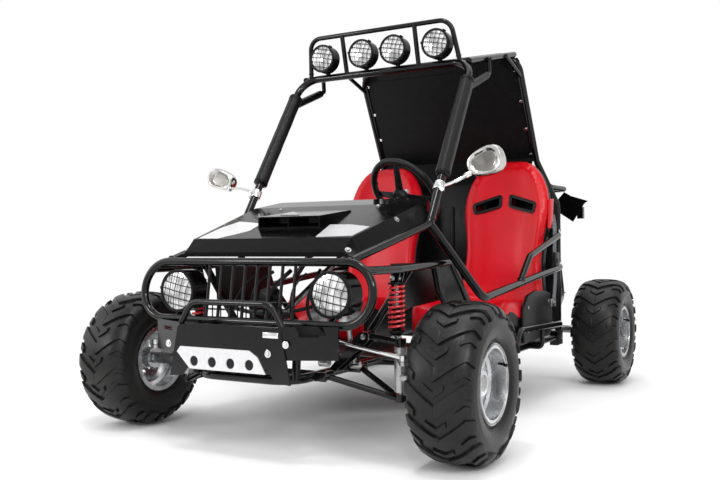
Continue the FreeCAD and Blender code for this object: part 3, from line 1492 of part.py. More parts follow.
def coil(name, low, high):
    """A coil spring in flat facets, its end turns just clear of the two seats."""
    turns, steps, sides = 8, 12, 6
    line = (high - low).normalize()
    turned = turned_to(line)
    wire = float(s.spring_wire) / 2
    radius = float(s.spring_od) / 2 - wire
    first = float(s.seat_gap) + wire
    climb = (high - low).Length - first * 2
    count = turns * steps
    rings = []
    for i in range(count + 1):
        turn = 2 * math.pi * i / steps
        out = Vector(math.cos(turn), math.sin(turn), 0)
        centre = out * radius + Vector(0, 0, first + climb * i / count)
        ring = []
        for j in range(sides):
            lean = 2 * math.pi * j / sides
            ring.append(centre + out * (wire * math.cos(lean)) + Vector(0, 0, wire * math.sin(lean)))
        rings.append([low + turned.multVec(point) for point in ring])
    faces = [rings[0], rings[-1]]
    for near, far in zip(rings, rings[1:]):
        faces += strip(near, far)
    return faceted(name, faces)


def shocks():
    front = []
    rear = []
    for side in (1, -1):
        low = place(s.shock_x * side, s.shock_y, s.shock_low_z)
        high = place(s.shock_x * side, s.shock_y, s.shock_high_z)
        front += shock("front_shock", low, high, Vector(0, 1, 0))
        rear += shock("rear_shock", spot("rear_shock_low", side), rear_shock_top(side), Vector(1, 0, 0))
    finish("front_shocks", group("front_shock_pair", front))
    finish("rear_shocks", group("rear_shock_pair", rear))


def swing_arm():
    """The rear swing arm: two beams, a cross tube and the axle's bearing carriers."""
    pieces = []
    bores = []
    across = Vector(1, 0, 0)
    half = across * (float(s.arm_boss_length) / 2)
    for side in (1, -1):
        pivot = spot("swing_pivot", side)
        end = spot("swing_end", side)
        carrier = place(s.carrier_x * side, s.rear_axle_y, s.tyre_od / 2)
        pieces.append(rod("swing_boss", pivot - half, pivot + half, s.arm_boss))
        pieces.append(rod("swing_beam", pivot, end, s.side_tube))
        pieces.append(disc("axle_carrier", carrier, across, s.carrier_od, s.carrier_width))
        bores.append(rod("swing_bore", pivot - half * 3, pivot + half * 3, s.arm_bolt + s.running_gap * 2))
        shaft_bore = s.axle_od + s.running_gap * 2
        bores.append(disc("carrier_bore", carrier, across, shaft_bore, s.carrier_width * 2))
        seat = spot("rear_shock_low", side)
        reach = across * (float(s.shock_eye_width / 2 + s.plate) * side)
        beam = between(pivot, end, (seat.y - pivot.y) / (end.y - pivot.y))
        beside = shifted(seat, (s.shock_eye_width / 2 + s.running_gap + s.plate / 2) * side)
        pieces.append(rod("shock_seat_pin", seat - reach, beside, s.arm_bolt))
        middle = Vector(beside.x, seat.y, (seat.z + beam.z) / 2)
        pieces.append(block("shock_seat", middle, s.plate, s.arm_boss, s.arm_boss + s.plate * 3))
    cross_share = 0.3
    left = between(spot("swing_pivot"), spot("swing_end"), cross_share)
    right = between(spot("swing_pivot", -1), spot("swing_end", -1), cross_share)
    pieces.append(rod("swing_cross", left, right, s.side_tube))
    return finish("swing_arm", cut("swing_arm_cut", weld("swing_arm_weld", pieces), bores))


def build_nodes():
    wheels()
    rear_axle()
    floor_frame()
    grille_guard()
    roll_cage()
    side_guards()
    front_frame()
    side_panels()
    sill_bars()
    rear_frame()
    floor_pan()
    headlamps()
    roof_lamps()
    light_rack()
    bumper()
    bumper_insert()
    hood()
    hood_scoop()
    pillar_pads()
    grab_handles()
    roof_panels()
    mirrors()
    seats()
    engine()
    knuckles()
    tie_rods()
    steering()
    front_arms()
    shocks()
    swing_arm()


def check(item):
    bad = {"Invalid", "Error"} & set(item.State)
    if bad:
        raise RuntimeError("%s is %s" % (item.Label, ", ".join(bad)))


def write_parts():
    doc.recompute()
    for item in doc.Objects:
        check(item)
    os.makedirs("parts", exist_ok=True)
    for node, item in nodes.items():
        shape = item.Shape
        if shape.isNull() or not shape.isValid() or not shape.Solids:
            raise RuntimeError("%s has no valid solid" % node)
        print("%-20s %2d solids %12.0f mm3" % (node, len(shape.Solids), shape.Volume))
        shape.exportStep("parts/%s.step" % node)


build_nodes()
write_parts()
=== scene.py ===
import math

import bmesh
import bpy
from mathutils import Matrix, Vector
from mathutils.bvhtree import BVHTree


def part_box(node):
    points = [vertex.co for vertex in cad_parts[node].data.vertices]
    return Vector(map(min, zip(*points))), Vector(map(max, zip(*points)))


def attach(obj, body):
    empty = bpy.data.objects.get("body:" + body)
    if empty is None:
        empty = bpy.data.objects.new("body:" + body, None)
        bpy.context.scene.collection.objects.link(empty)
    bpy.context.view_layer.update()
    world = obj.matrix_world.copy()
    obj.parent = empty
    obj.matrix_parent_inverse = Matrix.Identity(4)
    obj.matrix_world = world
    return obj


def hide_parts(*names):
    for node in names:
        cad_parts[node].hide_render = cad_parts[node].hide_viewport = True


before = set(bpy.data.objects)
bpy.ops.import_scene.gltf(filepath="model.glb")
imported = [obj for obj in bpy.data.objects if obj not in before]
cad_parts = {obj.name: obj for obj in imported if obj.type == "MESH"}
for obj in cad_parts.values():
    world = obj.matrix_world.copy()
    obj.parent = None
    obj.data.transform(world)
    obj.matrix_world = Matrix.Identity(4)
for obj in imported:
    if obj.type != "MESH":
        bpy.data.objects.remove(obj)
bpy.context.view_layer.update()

axleY = -0.669  # the front axle's place along the vehicle, in metres
wheelZ = 203  # height of both axles, in millimetres
hands = (("left", 1), ("right", -1))
alongX, alongY, alongZ = Vector((1, 0, 0)), Vector((0, 1, 0)), Vector((0, 0, 1))


def at(x, y, z):  # millimetres out from the middle, back from the front axle and up, as a place in metres
    return Vector((x / 1000, y / 1000 + axleY, z / 1000))


def setAll(item, **settings):
    for name, value in settings.items():
        setattr(item, name, value)
    return item


def addNode(tree, kind, sockets=None, **settings):
    node = setAll(tree.nodes.new(kind if kind.startswith("Node") else "ShaderNode" + kind), **settings)
    for key, value in (sockets or {}).items():
        if isinstance(value, bpy.types.NodeSocket):
            tree.links.new(value, node.inputs[key])
        else:
            node.inputs[key].default_value = value
    return node


def ramp(tree, value, low, high, startAt=0.0, endAt=1.0, **settings):
    return addNode(tree, "MapRange", {0: value, 1: startAt, 2: endAt, 3: low, 4: high}, **settings).outputs[0]


def mathNode(tree, operation, first, second=0.0):
    return addNode(tree, "Math", {0: first, 1: second}, operation=operation).outputs[0]


def times(tree, first, second):
    return mathNode(tree, "MULTIPLY", first, second)


def noiseNode(tree, where, scale, detail=4.0, rough=0.5, bend=0.0):
    sockets = {"Vector": where, "Scale": scale, "Detail": detail, "Roughness": rough, "Distortion": bend}
    return addNode(tree, "TexNoise", sockets).outputs[0]


def mixColour(tree, share, first, second):
    return addNode(tree, "Mix", {0: share, 6: first, 7: second}, data_type="RGBA").outputs[2]


def newGroup(name, inputs, outputs):  # a node group that takes a place and some plain numbers
    group = bpy.data.node_groups.new(name, "ShaderNodeTree")
    group.interface.new_socket("Vector", in_out="INPUT", socket_type="NodeSocketVector")
    for socketName in inputs:
        group.interface.new_socket(socketName, in_out="INPUT", socket_type="NodeSocketFloat")
    for socketName in outputs:
        group.interface.new_socket(socketName, in_out="OUTPUT", socket_type="NodeSocketFloat")
    return group, addNode(group, "NodeGroupInput").outputs, addNode(group, "NodeGroupOutput").inputs


texture = dict(  # numbers of the shared groups
    fineScale=7.0, fineShare=0.5, wornRadius=0.0015, wornEdge=(0.86, 0.995), wornScale=35.0,
    wornBreak=(0.42, 0.62), dustScale=9.0, dustBreak=(0.38, 0.72), dustColour=(0.32, 0.29, 0.25, 1),
    dustRough=0.8, pebbleEdge=0.7, pebbleShare=0.25, foldScale=5.0, foldBend=1.6, foldWidth=0.05,
    shadeScale=3.5,
)


def grainGroup():  # fine mottling: a value round 0.5 and a bump height
    group, given, out = newGroup("surfaceGrain", ["Scale"], ["Value", "Height"])
    broad = noiseNode(group, given[0], given[1])
    fine = noiseNode(group, given[0], times(group, given[1], texture["fineScale"]), 2.0)
    group.links.new(broad, out[0])
    group.links.new(mathNode(group, "ADD", times(group, fine, texture["fineShare"]), broad), out[1])
    return group


def wearGroup():  # 1 on sharp edges, broken up by noise
    group, given, out = newGroup("edgeWear", ["Amount"], ["Mask"])
    bevel = addNode(group, "Bevel", {"Radius": texture["wornRadius"]}, samples=4)
    sockets = {0: bevel.outputs[0], 1: addNode(group, "NewGeometry").outputs["Normal"]}
    dot = addNode(group, "VectorMath", sockets, operation="DOT_PRODUCT")
    edge = ramp(group, dot.outputs["Value"], 1.0, 0.0, *texture["wornEdge"])
    cloudy = noiseNode(group, given[0], texture["wornScale"], 6.0)
    broken = ramp(group, cloudy, 0.0, 1.0, *texture["wornBreak"])
    group.links.new(times(group, times(group, edge, broken), given[1]), out[0])
    return group


def dustGroup():  # settled dust: more near the ground, in cloudy patches
    group, given, out = newGroup("roadDust", ["Top", "Amount"], ["Mask"])
    height = addNode(group, "SeparateXYZ", {0: given[0]}).outputs[2]
    cloudy = noiseNode(group, given[0], texture["dustScale"], 8.0, 0.65)
    broken = ramp(group, cloudy, 0.0, 1.0, *texture["dustBreak"])
    low = ramp(group, height, 0.0, 1.0, given[1], 0.0)
    group.links.new(times(group, times(group, low, broken), given[2]), out[0])
    return group


def leatherGroup():  # pebbled vinyl skin with a few long creases, as a bump height
    group, given, out = newGroup("vinylSkin", ["Pebble", "Creases"], ["Height", "Shade"])
    cells = addNode(group, "TexVoronoi", {"Vector": given[0], "Scale": given[1]})
    pebble = ramp(group, cells.outputs["Distance"], 1.0, 0.0, 0.0, texture["pebbleEdge"])
    bent = noiseNode(group, given[0], texture["foldScale"], 5.0, bend=texture["foldBend"])
    fold = mathNode(group, "ABSOLUTE", mathNode(group, "SUBTRACT", bent, 0.5))
    creased = times(group, ramp(group, fold, 0.0, 1.0, 0.0, texture["foldWidth"]), given[2])
    group.links.new(mathNode(group, "ADD", times(group, pebble, texture["pebbleShare"]), creased), out[0])
    group.links.new(noiseNode(group, given[0], texture["shadeScale"], 3.0), out[1])
    return group


def weaveGroup():  # flat webbing: ribs across the strap's run
    group, given, out = newGroup("webbingWeave", ["Scale"], ["Height"])
    sockets = {"Vector": given[0], "Scale": given[1]}
    run, across = (addNode(group, "TexWave", sockets, bands_direction=axis).outputs[1] for axis in "ZY")
    group.links.new(times(group, run, across), out[0])
    return group


grain, edgeWear, roadDust, vinylSkin, webbingWeave = (
    make() for make in (grainGroup, wearGroup, dustGroup, leatherGroup, weaveGroup))


def startMaterial(name):
    material = bpy.data.materials.new(name)
    material.use_nodes = True
    tree = material.node_tree
    tree.nodes.clear()
    shader = addNode(tree, "BsdfPrincipled")
    addNode(tree, "OutputMaterial", {0: shader.outputs[0]})
    where = addNode(tree, "TexCoord").outputs["Object"]
    return material, tree, shader, where


plainSockets = {"Metallic": "metallic", "Coat Weight": "coat", "Coat Roughness": "coatRough",
                "Sheen Weight": "sheen", "Specular IOR Level": "specular", "Sheen Roughness": "sheenRough"}


def surface(name, look):  # one layered finish: colour with mottling, worn edges and dust
    material, tree, shader, where = startMaterial(name)

    def useGroup(group, **sockets):
        return addNode(tree, "Group", dict(Vector=where, **sockets), node_tree=group).outputs

    shade, height = useGroup(grain, Scale=look.get("grainScale", 60.0))
    rough = ramp(tree, shade, *look["rough"], 0.3, 0.7)
    if "skin" in look:
        height, shade = useGroup(vinylSkin, Pebble=look["skin"], Creases=look["creases"])
    if "weave" in look:
        height = useGroup(webbingWeave, Scale=look["weave"])[0]
    patchy = ramp(tree, shade, 0.0, 1.0, 0.35, 0.65)
    colour = mixColour(tree, patchy, (*look["colour"], 1), (*look["second"], 1))
    if "wear" in look:
        colour = mixColour(tree, useGroup(edgeWear, Amount=look["wear"])[0], colour, (*look["wornColour"], 1))
    if "dust" in look:
        dusty = useGroup(roadDust, Top=look.get("dustTop", 0.5), Amount=look["dust"])[0]
        colour = mixColour(tree, dusty, colour, texture["dustColour"])
        rough = mathNode(tree, "MAXIMUM", rough, times(tree, dusty, texture["dustRough"]))
    tree.links.new(colour, shader.inputs["Base Color"])
    tree.links.new(rough, shader.inputs["Roughness"])
    for socket, key in plainSockets.items():
        if key in look:
            shader.inputs[socket].default_value = look[key]
    if "bump" in look:
        sockets = {"Height": height, "Strength": look["bump"], "Distance": look.get("bumpDepth", 0.0006)}
        tree.links.new(addNode(tree, "Bump", sockets).outputs[0], shader.inputs["Normal"])
    return material


looks = {
    "frameBlack": dict(
        colour=(0.0016, 0.0016, 0.0019), second=(0.003, 0.003, 0.0035), rough=(0.07, 0.13), grainScale=90,
        specular=0.3, bump=0.06, wear=0.15, wornColour=(0.03, 0.03, 0.033), dust=0.03),
    "bodyBlack": dict(
        colour=(0.0016, 0.0016, 0.0018), second=(0.003, 0.003, 0.0034), rough=(0.1, 0.18), grainScale=50,
        specular=0.08, bump=0.03),
    "satinBlack": dict(
        colour=(0.003, 0.003, 0.0033), second=(0.006, 0.006, 0.0065), rough=(0.3, 0.44), grainScale=120,
        specular=0.14, bump=0.2, dust=0.03),
    "rubber": dict(
        colour=(0.004, 0.004, 0.0041), second=(0.008, 0.008, 0.008), rough=(0.28, 0.42), grainScale=160,
        specular=0.24, bump=0.3, dust=0.04, dustTop=0.42),
    "foamBlack": dict(
        colour=(0.003, 0.003, 0.0033), second=(0.006, 0.006, 0.0065), rough=(0.3, 0.42), grainScale=300,
        specular=0.2, bump=0.35),
    "rimSilver": dict(
        colour=(0.58, 0.59, 0.60), second=(0.68, 0.69, 0.70), rough=(0.2, 0.32), grainScale=24,
        metallic=1.0, bump=0.02, wear=0.1, wornColour=(0.7, 0.7, 0.7), dust=0.04),
    "chromed": dict(
        colour=(0.62, 0.62, 0.63), second=(0.76, 0.76, 0.76), rough=(0.05, 0.14), grainScale=60,
        metallic=1.0),
    "mirrorShell": dict(
        colour=(0.40, 0.39, 0.37), second=(0.62, 0.61, 0.59), rough=(0.08, 0.2), grainScale=26,
        metallic=1.0),
    # a darker chrome for an oval in the middle of the mirror head: a painted reflection
    "mirrorDark": dict(
        colour=(0.13, 0.125, 0.115), second=(0.32, 0.31, 0.29), rough=(0.1, 0.24), grainScale=16,
        metallic=0.9),
    "patchGrey": dict(
        colour=(0.50, 0.50, 0.51), second=(0.54, 0.54, 0.55), rough=(0.28, 0.36), grainScale=30,
        metallic=0.2, bump=0.02),
    "zinc": dict(
        colour=(0.30, 0.30, 0.305), second=(0.42, 0.42, 0.42), rough=(0.22, 0.38), grainScale=40,
        metallic=0.95, bump=0.06, dust=0.06),
    "insertSilver": dict(
        colour=(0.62, 0.62, 0.63), second=(0.69, 0.69, 0.7), rough=(0.28, 0.4), grainScale=90,
        metallic=0.3, coat=0.2, bump=0.05),
    "redVinyl": dict(
        colour=(0.50, 0.001, 0.006), second=(0.64, 0.002, 0.013), rough=(0.26, 0.38), grainScale=260,
        skin=620.0, creases=0.35, bump=0.3, bumpDepth=0.0007, coat=0.05, coatRough=0.2, specular=0.24),
    "blackVinyl": dict(
        colour=(0.003, 0.003, 0.0035), second=(0.007, 0.007, 0.008), rough=(0.3, 0.42), grainScale=260,
        skin=620.0, creases=0.25, bump=0.3, bumpDepth=0.0007, specular=0.18),
    "springRed": dict(
        colour=(0.48, 0.002, 0.008), second=(0.6, 0.004, 0.012), rough=(0.18, 0.3), grainScale=120,
        coat=0.4, bump=0.08, wear=0.25, wornColour=(0.45, 0.1, 0.1)),
    "castGrey": dict(
        colour=(0.20, 0.20, 0.205), second=(0.30, 0.30, 0.31), rough=(0.42, 0.6), grainScale=260,
        metallic=0.75, bump=0.5, dust=0.2, dustTop=0.6),
    "hoodGrey": dict(
        colour=(0.03, 0.03, 0.032), second=(0.05, 0.05, 0.053), rough=(0.16, 0.3), grainScale=30,
        metallic=0.3, coat=0.5, coatRough=0.05, bump=0.03),
    "reflector": dict(
        colour=(0.34, 0.34, 0.35), second=(0.97, 0.97, 0.97), rough=(0.04, 0.16), grainScale=28,
        metallic=0.5, coat=0.6, coatRough=0.02),
    "tailRed": dict(
        colour=(0.5, 0.004, 0.006), second=(0.62, 0.008, 0.01), rough=(0.08, 0.16), grainScale=300,
        coat=0.8, bump=0.5),
    "webNavy": dict(
        colour=(0.006, 0.008, 0.018), second=(0.012, 0.015, 0.03), rough=(0.5, 0.7),
        sheen=0.4, sheenRough=0.4, weave=260.0, bump=0.6, bumpDepth=0.0008),
    "chainSteel": dict(
        colour=(0.10, 0.095, 0.09), second=(0.2, 0.19, 0.18), rough=(0.26, 0.45), grainScale=200,
        metallic=0.9, bump=0.2),
}
made = {name: surface(name, look) for name, look in looks.items()}
print("materials made:", len(made))

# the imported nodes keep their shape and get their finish
finishes = dict(
    frameBlack="floor_frame grille_guard roll_cage side_guards front_frame sill_bars rear_frame light_rack"
               " bumper front_arms swing_arm",
    bodyBlack="hood hood_scoop headlamp_shells roof_lamp_shells",
    satinBlack="side_panels floor_pan roof_panels",
    rubber="front_tyre_left front_tyre_right rear_tyre_left rear_tyre_right steering_wheel",
    foamBlack="pillar_pads grab_handles",
    rimSilver="front_rim_left front_rim_right rear_rim_left rear_rim_right",
    chromed="mirrors tie_rod_left tie_rod_right headlamp_lenses roof_lamp_lenses",
    zinc="rear_axle knuckle_left knuckle_right steering_column steering_rack muffler",
    insertSilver="bumper_insert",
    redVinyl="seat_left seat_right",
    springRed="front_shocks rear_shocks",
    castGrey="engine",
)
for finish, nodeNames in finishes.items():
    for nodeName in nodeNames.split():
        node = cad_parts.get(nodeName)
        if node:
            node.data.materials.clear()
            node.data.materials.append(made[finish])


def linkObject(name, data):
    item = bpy.data.objects.new(name, data)
    bpy.context.scene.collection.objects.link(item)
    return item


def startShape():
    bm = bmesh.new()
    bm.faces.layers.int.new("painted")
    return bm


def paintNew(bm, number):  # gives a material number to the faces added since the last call
    painted = bm.faces.layers.int["painted"]
    for face in bm.faces:
        if not face[painted]:
            face.material_index = number
            face[painted] = 1


def finishPiece(name, bm, finishNames, replaced=None, body="chassis", sharp=38):
    bmesh.ops.recalc_face_normals(bm, faces=bm.faces)
    finishNames = finishNames.split()
    paintNew(bm, len(finishNames) - 1)
    bm.faces.layers.int.remove(bm.faces.layers.int["painted"])
    mesh = bpy.data.meshes.new(name)
    bm.to_mesh(mesh)
    bm.free()
    for finishName in finishNames:
        mesh.materials.append(made[finishName])
    mesh.shade_smooth()
    mesh.set_sharp_from_angle(angle=math.radians(sharp))
    piece = linkObject(name, mesh)
    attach(piece, body)
    if replaced:
        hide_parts(replaced)
    return piece


def lookAlong(axis):
    return Vector(axis).to_track_quat("Z", "Y").to_matrix().to_4x4()


def edgesOf(verts):
    return list({edge for vert in verts for edge in vert.link_edges})


def facesOf(verts):
    return list({face for vert in verts for face in vert.link_faces})


def newVerts(bm, before):
    return [vert for vert in bm.verts if vert not in before]


def ofKind(geom, kind):
    return [item for item in geom if isinstance(item, kind)]


def bevelEdges(bm, edges, offset, segments=2, **settings):
    settings = settings or dict(affect="EDGES", offset_type="OFFSET", clamp_overlap=True)
    bmesh.ops.bevel(bm, geom=edges, offset=offset, segments=segments, profile=0.5, material=-1, **settings)


def bevelCorners(bm, verts, offset, segments):
    bevelEdges(bm, verts, offset, segments, affect="VERTICES")


def roundRims(bm, verts, line, rounding):  # rounds the edges that lie square to a line
    rims = [e for e in edgesOf(verts) if abs((e.verts[1].co - e.verts[0].co).dot(line)) < 1e-9]
    bevelEdges(bm, rims, rounding)


def pushFaces(bm, faces, move):  # gives faces a thickness and returns what was pushed out
    pushed = bmesh.ops.extrude_face_region(bm, geom=faces, use_keep_orig=True)["geom"]
    bmesh.ops.translate(bm, verts=ofKind(pushed, bmesh.types.BMVert), vec=move)
    return pushed


def capEnds(bm):
    bmesh.ops.holes_fill(bm, edges=[e for e in bm.edges if len(e.link_faces) == 1], sides=0)


def addCone(bm, place, depth, radius, endRadius, segments):
    return bmesh.ops.create_cone(bm, cap_ends=True, segments=segments, radius1=radius, radius2=endRadius,
                                 depth=depth, matrix=place)["verts"]


def addRod(bm, start, end, radius, segments=16, endRadius=None, rounding=0.0):
    line = end - start
    place = Matrix.Translation((start + end) / 2) @ lookAlong(line)
    verts = addCone(bm, place, line.length, radius, radius if endRadius is None else endRadius, segments)
    if rounding:
        roundRims(bm, verts, line, rounding)


def addNut(bm, centre, axis, across, height, washer=True):
    axis = Vector(axis).normalized()
    if washer:
        addRod(bm, centre, centre + axis * height * 0.18, across * 0.72, 16)
    place = Matrix.Translation(centre + axis * height * 0.6) @ lookAlong(axis)
    verts = addCone(bm, place, height * 0.84, across * 0.577, across * 0.577, 6)
    roundRims(bm, verts, axis, across * 0.07)
    top = centre + axis * height
    addRod(bm, top, top + axis * height * 0.3, across * 0.26, 10, rounding=across * 0.05)


def addBlock(bm, centre, size, rounding=0.0, turn=None, segments=2):
    place = Matrix.Translation(centre) @ (turn or Matrix()) @ Matrix.Diagonal((*size, 1))
    cube = bmesh.ops.create_cube(bm, size=1, matrix=place)
    if rounding:
        bevelEdges(bm, edgesOf(cube["verts"]), rounding, segments)


def addLathe(bm, centre, axis, profile, steps=32):  # profile: pairs of place along the axis and radius
    axis = Vector(axis).normalized()
    out = axis.orthogonal().normalized()
    before = set(bm.verts)
    verts = [bm.verts.new(Vector(centre) + axis * along + out * radius) for along, radius in profile]
    edges = [bm.edges.new(pair) for pair in zip(verts, verts[1:])]
    bmesh.ops.spin(bm, geom=verts + edges, cent=centre, axis=axis, angle=math.tau, steps=steps,
                   use_merge=True)
    bmesh.ops.remove_doubles(bm, verts=newVerts(bm, before), dist=1e-6)


def addRing(bm, centre, axis, radius, thick, steps=32, sides=10):
    angles = [math.tau * i / sides for i in range(sides)]
    loop = [(thick * math.sin(a), radius + thick * math.cos(a)) for a in angles]
    addLathe(bm, centre, axis, loop + loop[:1], steps)


def addPipe(bm, points, radius, resolution=2, order=3):  # a smooth bent pipe
    curve = setAll(bpy.data.curves.new("pipeRoute", "CURVE"), dimensions="3D", bevel_depth=radius,
                   bevel_resolution=resolution, resolution_u=6, use_fill_caps=True)
    spline = curve.splines.new("NURBS")
    spline.points.add(len(points) - 1)
    for point, place in zip(spline.points, points):
        point.co = (*place, 1)
    setAll(spline, order_u=min(order, len(points)), use_endpoint_u=True)
    holder = bpy.data.objects.new("pipeRoute", curve)
    mesh = bpy.data.meshes.new_from_object(holder)
    bm.from_mesh(mesh)
    bpy.data.objects.remove(holder)
    bpy.data.curves.remove(curve)
    bpy.data.meshes.remove(mesh)


def addPlate(bm, corners, push, rounding=0.0, corner=0.0):
    verts = [bm.verts.new(c) for c in corners]
    face = bm.faces.new(verts)
    if corner:
        bevelCorners(bm, verts, corner, 4)
        alone = [f for f in bm.faces if all(len(v.link_faces) == 1 for v in f.verts)]
        face = max(alone, key=lambda f: f.calc_area())
    flat = list(face.edges)
    pushed = pushFaces(bm, [face], push)
    if rounding:
        bevelEdges(bm, [e for f in ofKind(pushed, bmesh.types.BMFace) for e in f.edges] + flat, rounding)


def wrapGrid(bm, across, along, shape, closeAcross=False):  # a grid bent by shape(u, v), each from 0 to 1
    verts = bmesh.ops.create_grid(bm, x_segments=across, y_segments=along, size=1)["verts"]
    for vert in verts:
        vert.co = shape((vert.co.x + 1) / 2, (vert.co.y + 1) / 2)
    if closeAcross:
        bmesh.ops.remove_doubles(bm, verts=verts, dist=1e-6)


def addSleeve(bm, low, high, out, front, columns, rows, radiusAt):  # a closed skin round a line, radii in mm
    def skin(u, v):
        turn = u * math.tau
        way = out * math.cos(turn) + front * math.sin(turn)
        return low + (high - low) * v + way * radiusAt(turn, v) / 1000

    wrapGrid(bm, columns, rows, skin, closeAcross=True)
    capEnds(bm)


def spoke(turn):  # a direction square to the axles
    return Vector((0, math.cos(turn), math.sin(turn)))


def between(rows, share):  # a place along evenly spaced rows of numbers
    place = share * (len(rows) - 1)
    first = min(int(place), len(rows) - 2)
    part = place - first
    return [a + (b - a) * part for a, b in zip(rows[first], rows[first + 1])]


def follow(rows, share):  # the same between rows that start with their own share
    for near, far in zip(rows, rows[1:]):
        if share <= far[0]:
            part = (share - near[0]) / (far[0] - near[0])
            return [a + (b - a) * part for a, b in zip(near[1:], far[1:])]
    return list(rows[-1][1:])


tyre = dict(
    pitches=14, pitchRun=89.8, treadRadius=200, steps=84, sink=1.5, draft=0.9, edgeRound=1.3,
    # out along the axle and radius, in millimetres, from the crown to the bead
    crown=[(0, 196.2), (14, 196.0), (28, 195.4), (42, 194.0), (54, 191.6), (64, 188.0), (72, 182.6),
           (78.5, 175.2), (83, 166), (86, 155), (87.2, 147), (87.9, 144), (87.5, 141), (87.3, 134),
           (86.8, 131), (86.0, 128), (85.2, 122), (83, 116), (79.5, 111), (77.5, 109.6), (76, 107.6),
           (73.5, 106), (71, 104.5), (71, 92.4)],
    lead=[(0, 0.0), (45, 0.38), (73, 0.62), (84, 0.56), (96, 0.5)],  # how far a lug has climbed, in pitches
    lugs=[dict(start=0, end=97, width=37, height=6.8, columns=16, turn=0),
          dict(start=52, end=90, width=20, height=5.6, columns=8, turn=0.5),
          dict(start=0, end=26, width=15, height=5.4, columns=4, turn=0.47)],
)


def crownRun():  # the crown with the distance walked along it
    rows, walked = [], 0.0
    last = tyre["crown"][0]
    for point in tyre["crown"]:
        walked += math.dist(last, point)
        rows.append((walked, *point))
        last = point
    return rows


crownRows = crownRun()


def onTyre(walked, around, lift):  # from the flat: along the crown, round the tread, and up from it
    here, ahead = follow(crownRows, walked), follow(crownRows, walked + 2.0)
    run = Vector((ahead[0] - here[0], ahead[1] - here[1])).normalized()
    out, radius = here[0] - run.y * lift, here[1] + run.x * lift
    lead = follow(tyre["lead"], walked)[0] * math.tau / tyre["pitches"]
    turn = lead + around / tyre["treadRadius"]
    return Vector((out, -radius * math.sin(turn), -radius * math.cos(turn))) / 1000


def addLug(bm, lug):
    middle, sink = lug["turn"] * tyre["pitchRun"], tyre["sink"]
    verts = bmesh.ops.create_grid(bm, x_segments=lug["columns"], y_segments=2, size=0.5)["verts"]
    bmesh.ops.scale(bm, vec=(lug["end"] - lug["start"], lug["width"], 1), verts=verts)
    bmesh.ops.translate(bm, vec=((lug["end"] + lug["start"]) / 2, middle, -sink), verts=verts)
    pushed = bmesh.ops.extrude_face_region(bm, geom=facesOf(verts))
    top = ofKind(pushed["geom"], bmesh.types.BMVert)
    for vert in top:
        vert.co.z += lug["height"] + sink
        vert.co.y = middle + (vert.co.y - middle) * tyre["draft"]

    def slopes(face):
        return len({round(vert.co.z, 3) for vert in face.verts}) > 1

    inTop = {e for v in top for e in v.link_edges if all(end in top for end in e.verts)}
    bevelEdges(bm, [e for e in inTop if any(slopes(f) for f in e.link_faces)], tyre["edgeRound"])


def buildTyre(name, centre, node, body):
    bm = startShape()
    half = tyre["crown"]
    loop = [(x / 1000, r / 1000) for x, r in [(-x, r) for x, r in reversed(half)] + half[1:]]
    addLathe(bm, (0, 0, 0), alongX, loop + loop[:1], tyre["steps"])
    for lug in tyre["lugs"]:
        before = set(bm.verts)
        addLug(bm, lug)
        fresh = newVerts(bm, before)
        for vert in fresh:
            vert.co = onTyre(*vert.co)
        parts = facesOf(fresh)
        copies = [(side, i) for side in (1, -1) for i in range(tyre["pitches"])]
        for side, i in copies[1:]:
            verts = ofKind(bmesh.ops.duplicate(bm, geom=parts)["geom"], bmesh.types.BMVert)
            turn = Matrix.Rotation(-i * math.tau / tyre["pitches"], 3, "X")
            bmesh.ops.scale(bm, vec=(side, 1, 1), verts=verts)
            bmesh.ops.rotate(bm, cent=(0, 0, 0), matrix=turn, verts=verts)
    bmesh.ops.translate(bm, vec=centre, verts=bm.verts)
    finishPiece(name, bm, "rubber", node, body, sharp=32)


wheelPlaces = (("front", 540, 0), ("rear", 555, 1400))
rim = dict(
    nuts=4, nutRing=0.044, nutAcross=0.015, nutHeight=0.011, discAt=0.0165,
    cap=[(0.0485, 0.0), (0.0495, 0.008), (0.0485, 0.016), (0.0475, 0.021), (0.0465, 0.0222), (0.045, 0.0222)],
    valveAngle=math.pi / 2 - 1.1, valveOut=0.058, valveRing=0.088,
)


def buildRimBits(name, centre, side, body):  # nuts, hub cap, valve and a rolled lip edge
    bm = startShape()
    out = Vector((side, 0, 0))
    face = centre + out * rim["discAt"]
    for i in range(rim["nuts"]):
        spot = face + spoke(math.tau * (i + 0.5) / rim["nuts"]) * rim["nutRing"]
        addNut(bm, spot, out, rim["nutAcross"], rim["nutHeight"])
    addLathe(bm, centre, out, [(a + 0.0006, r) for a, r in rim["cap"]], 24)
    addRing(bm, centre + out * 0.0765, out, 0.0965, 0.0022, 48, 8)
    addRing(bm, face, out, 0.058, 0.0016, 48, 6)
    paintNew(bm, 0)
    way = spoke(rim["valveAngle"])
    root = centre + out * rim["valveOut"] + way * rim["valveRing"]
    tip = root + out * 0.024 - way * 0.006
    addRod(bm, root, tip, 0.0036, 10, 0.003, 0.0006)
    addRod(bm, tip - out * 0.008, tip + out * 0.002, 0.0043, 10, rounding=0.0008)
    finishPiece(name, bm, "zinc foamBlack", body=body)


for axle, x, y in wheelPlaces:
    for hand, side in hands:
        wheelBody = "rear_wheels" if axle == "rear" else "front_wheel_" + hand
        centre = at(x * side, y, wheelZ)
        buildTyre("%sTyre_%s" % (axle, hand), centre, "%s_tyre_%s" % (axle, hand), wheelBody)
        buildRimBits("%sRimBits_%s" % (axle, hand), centre, side, wheelBody)
print("wheels made")


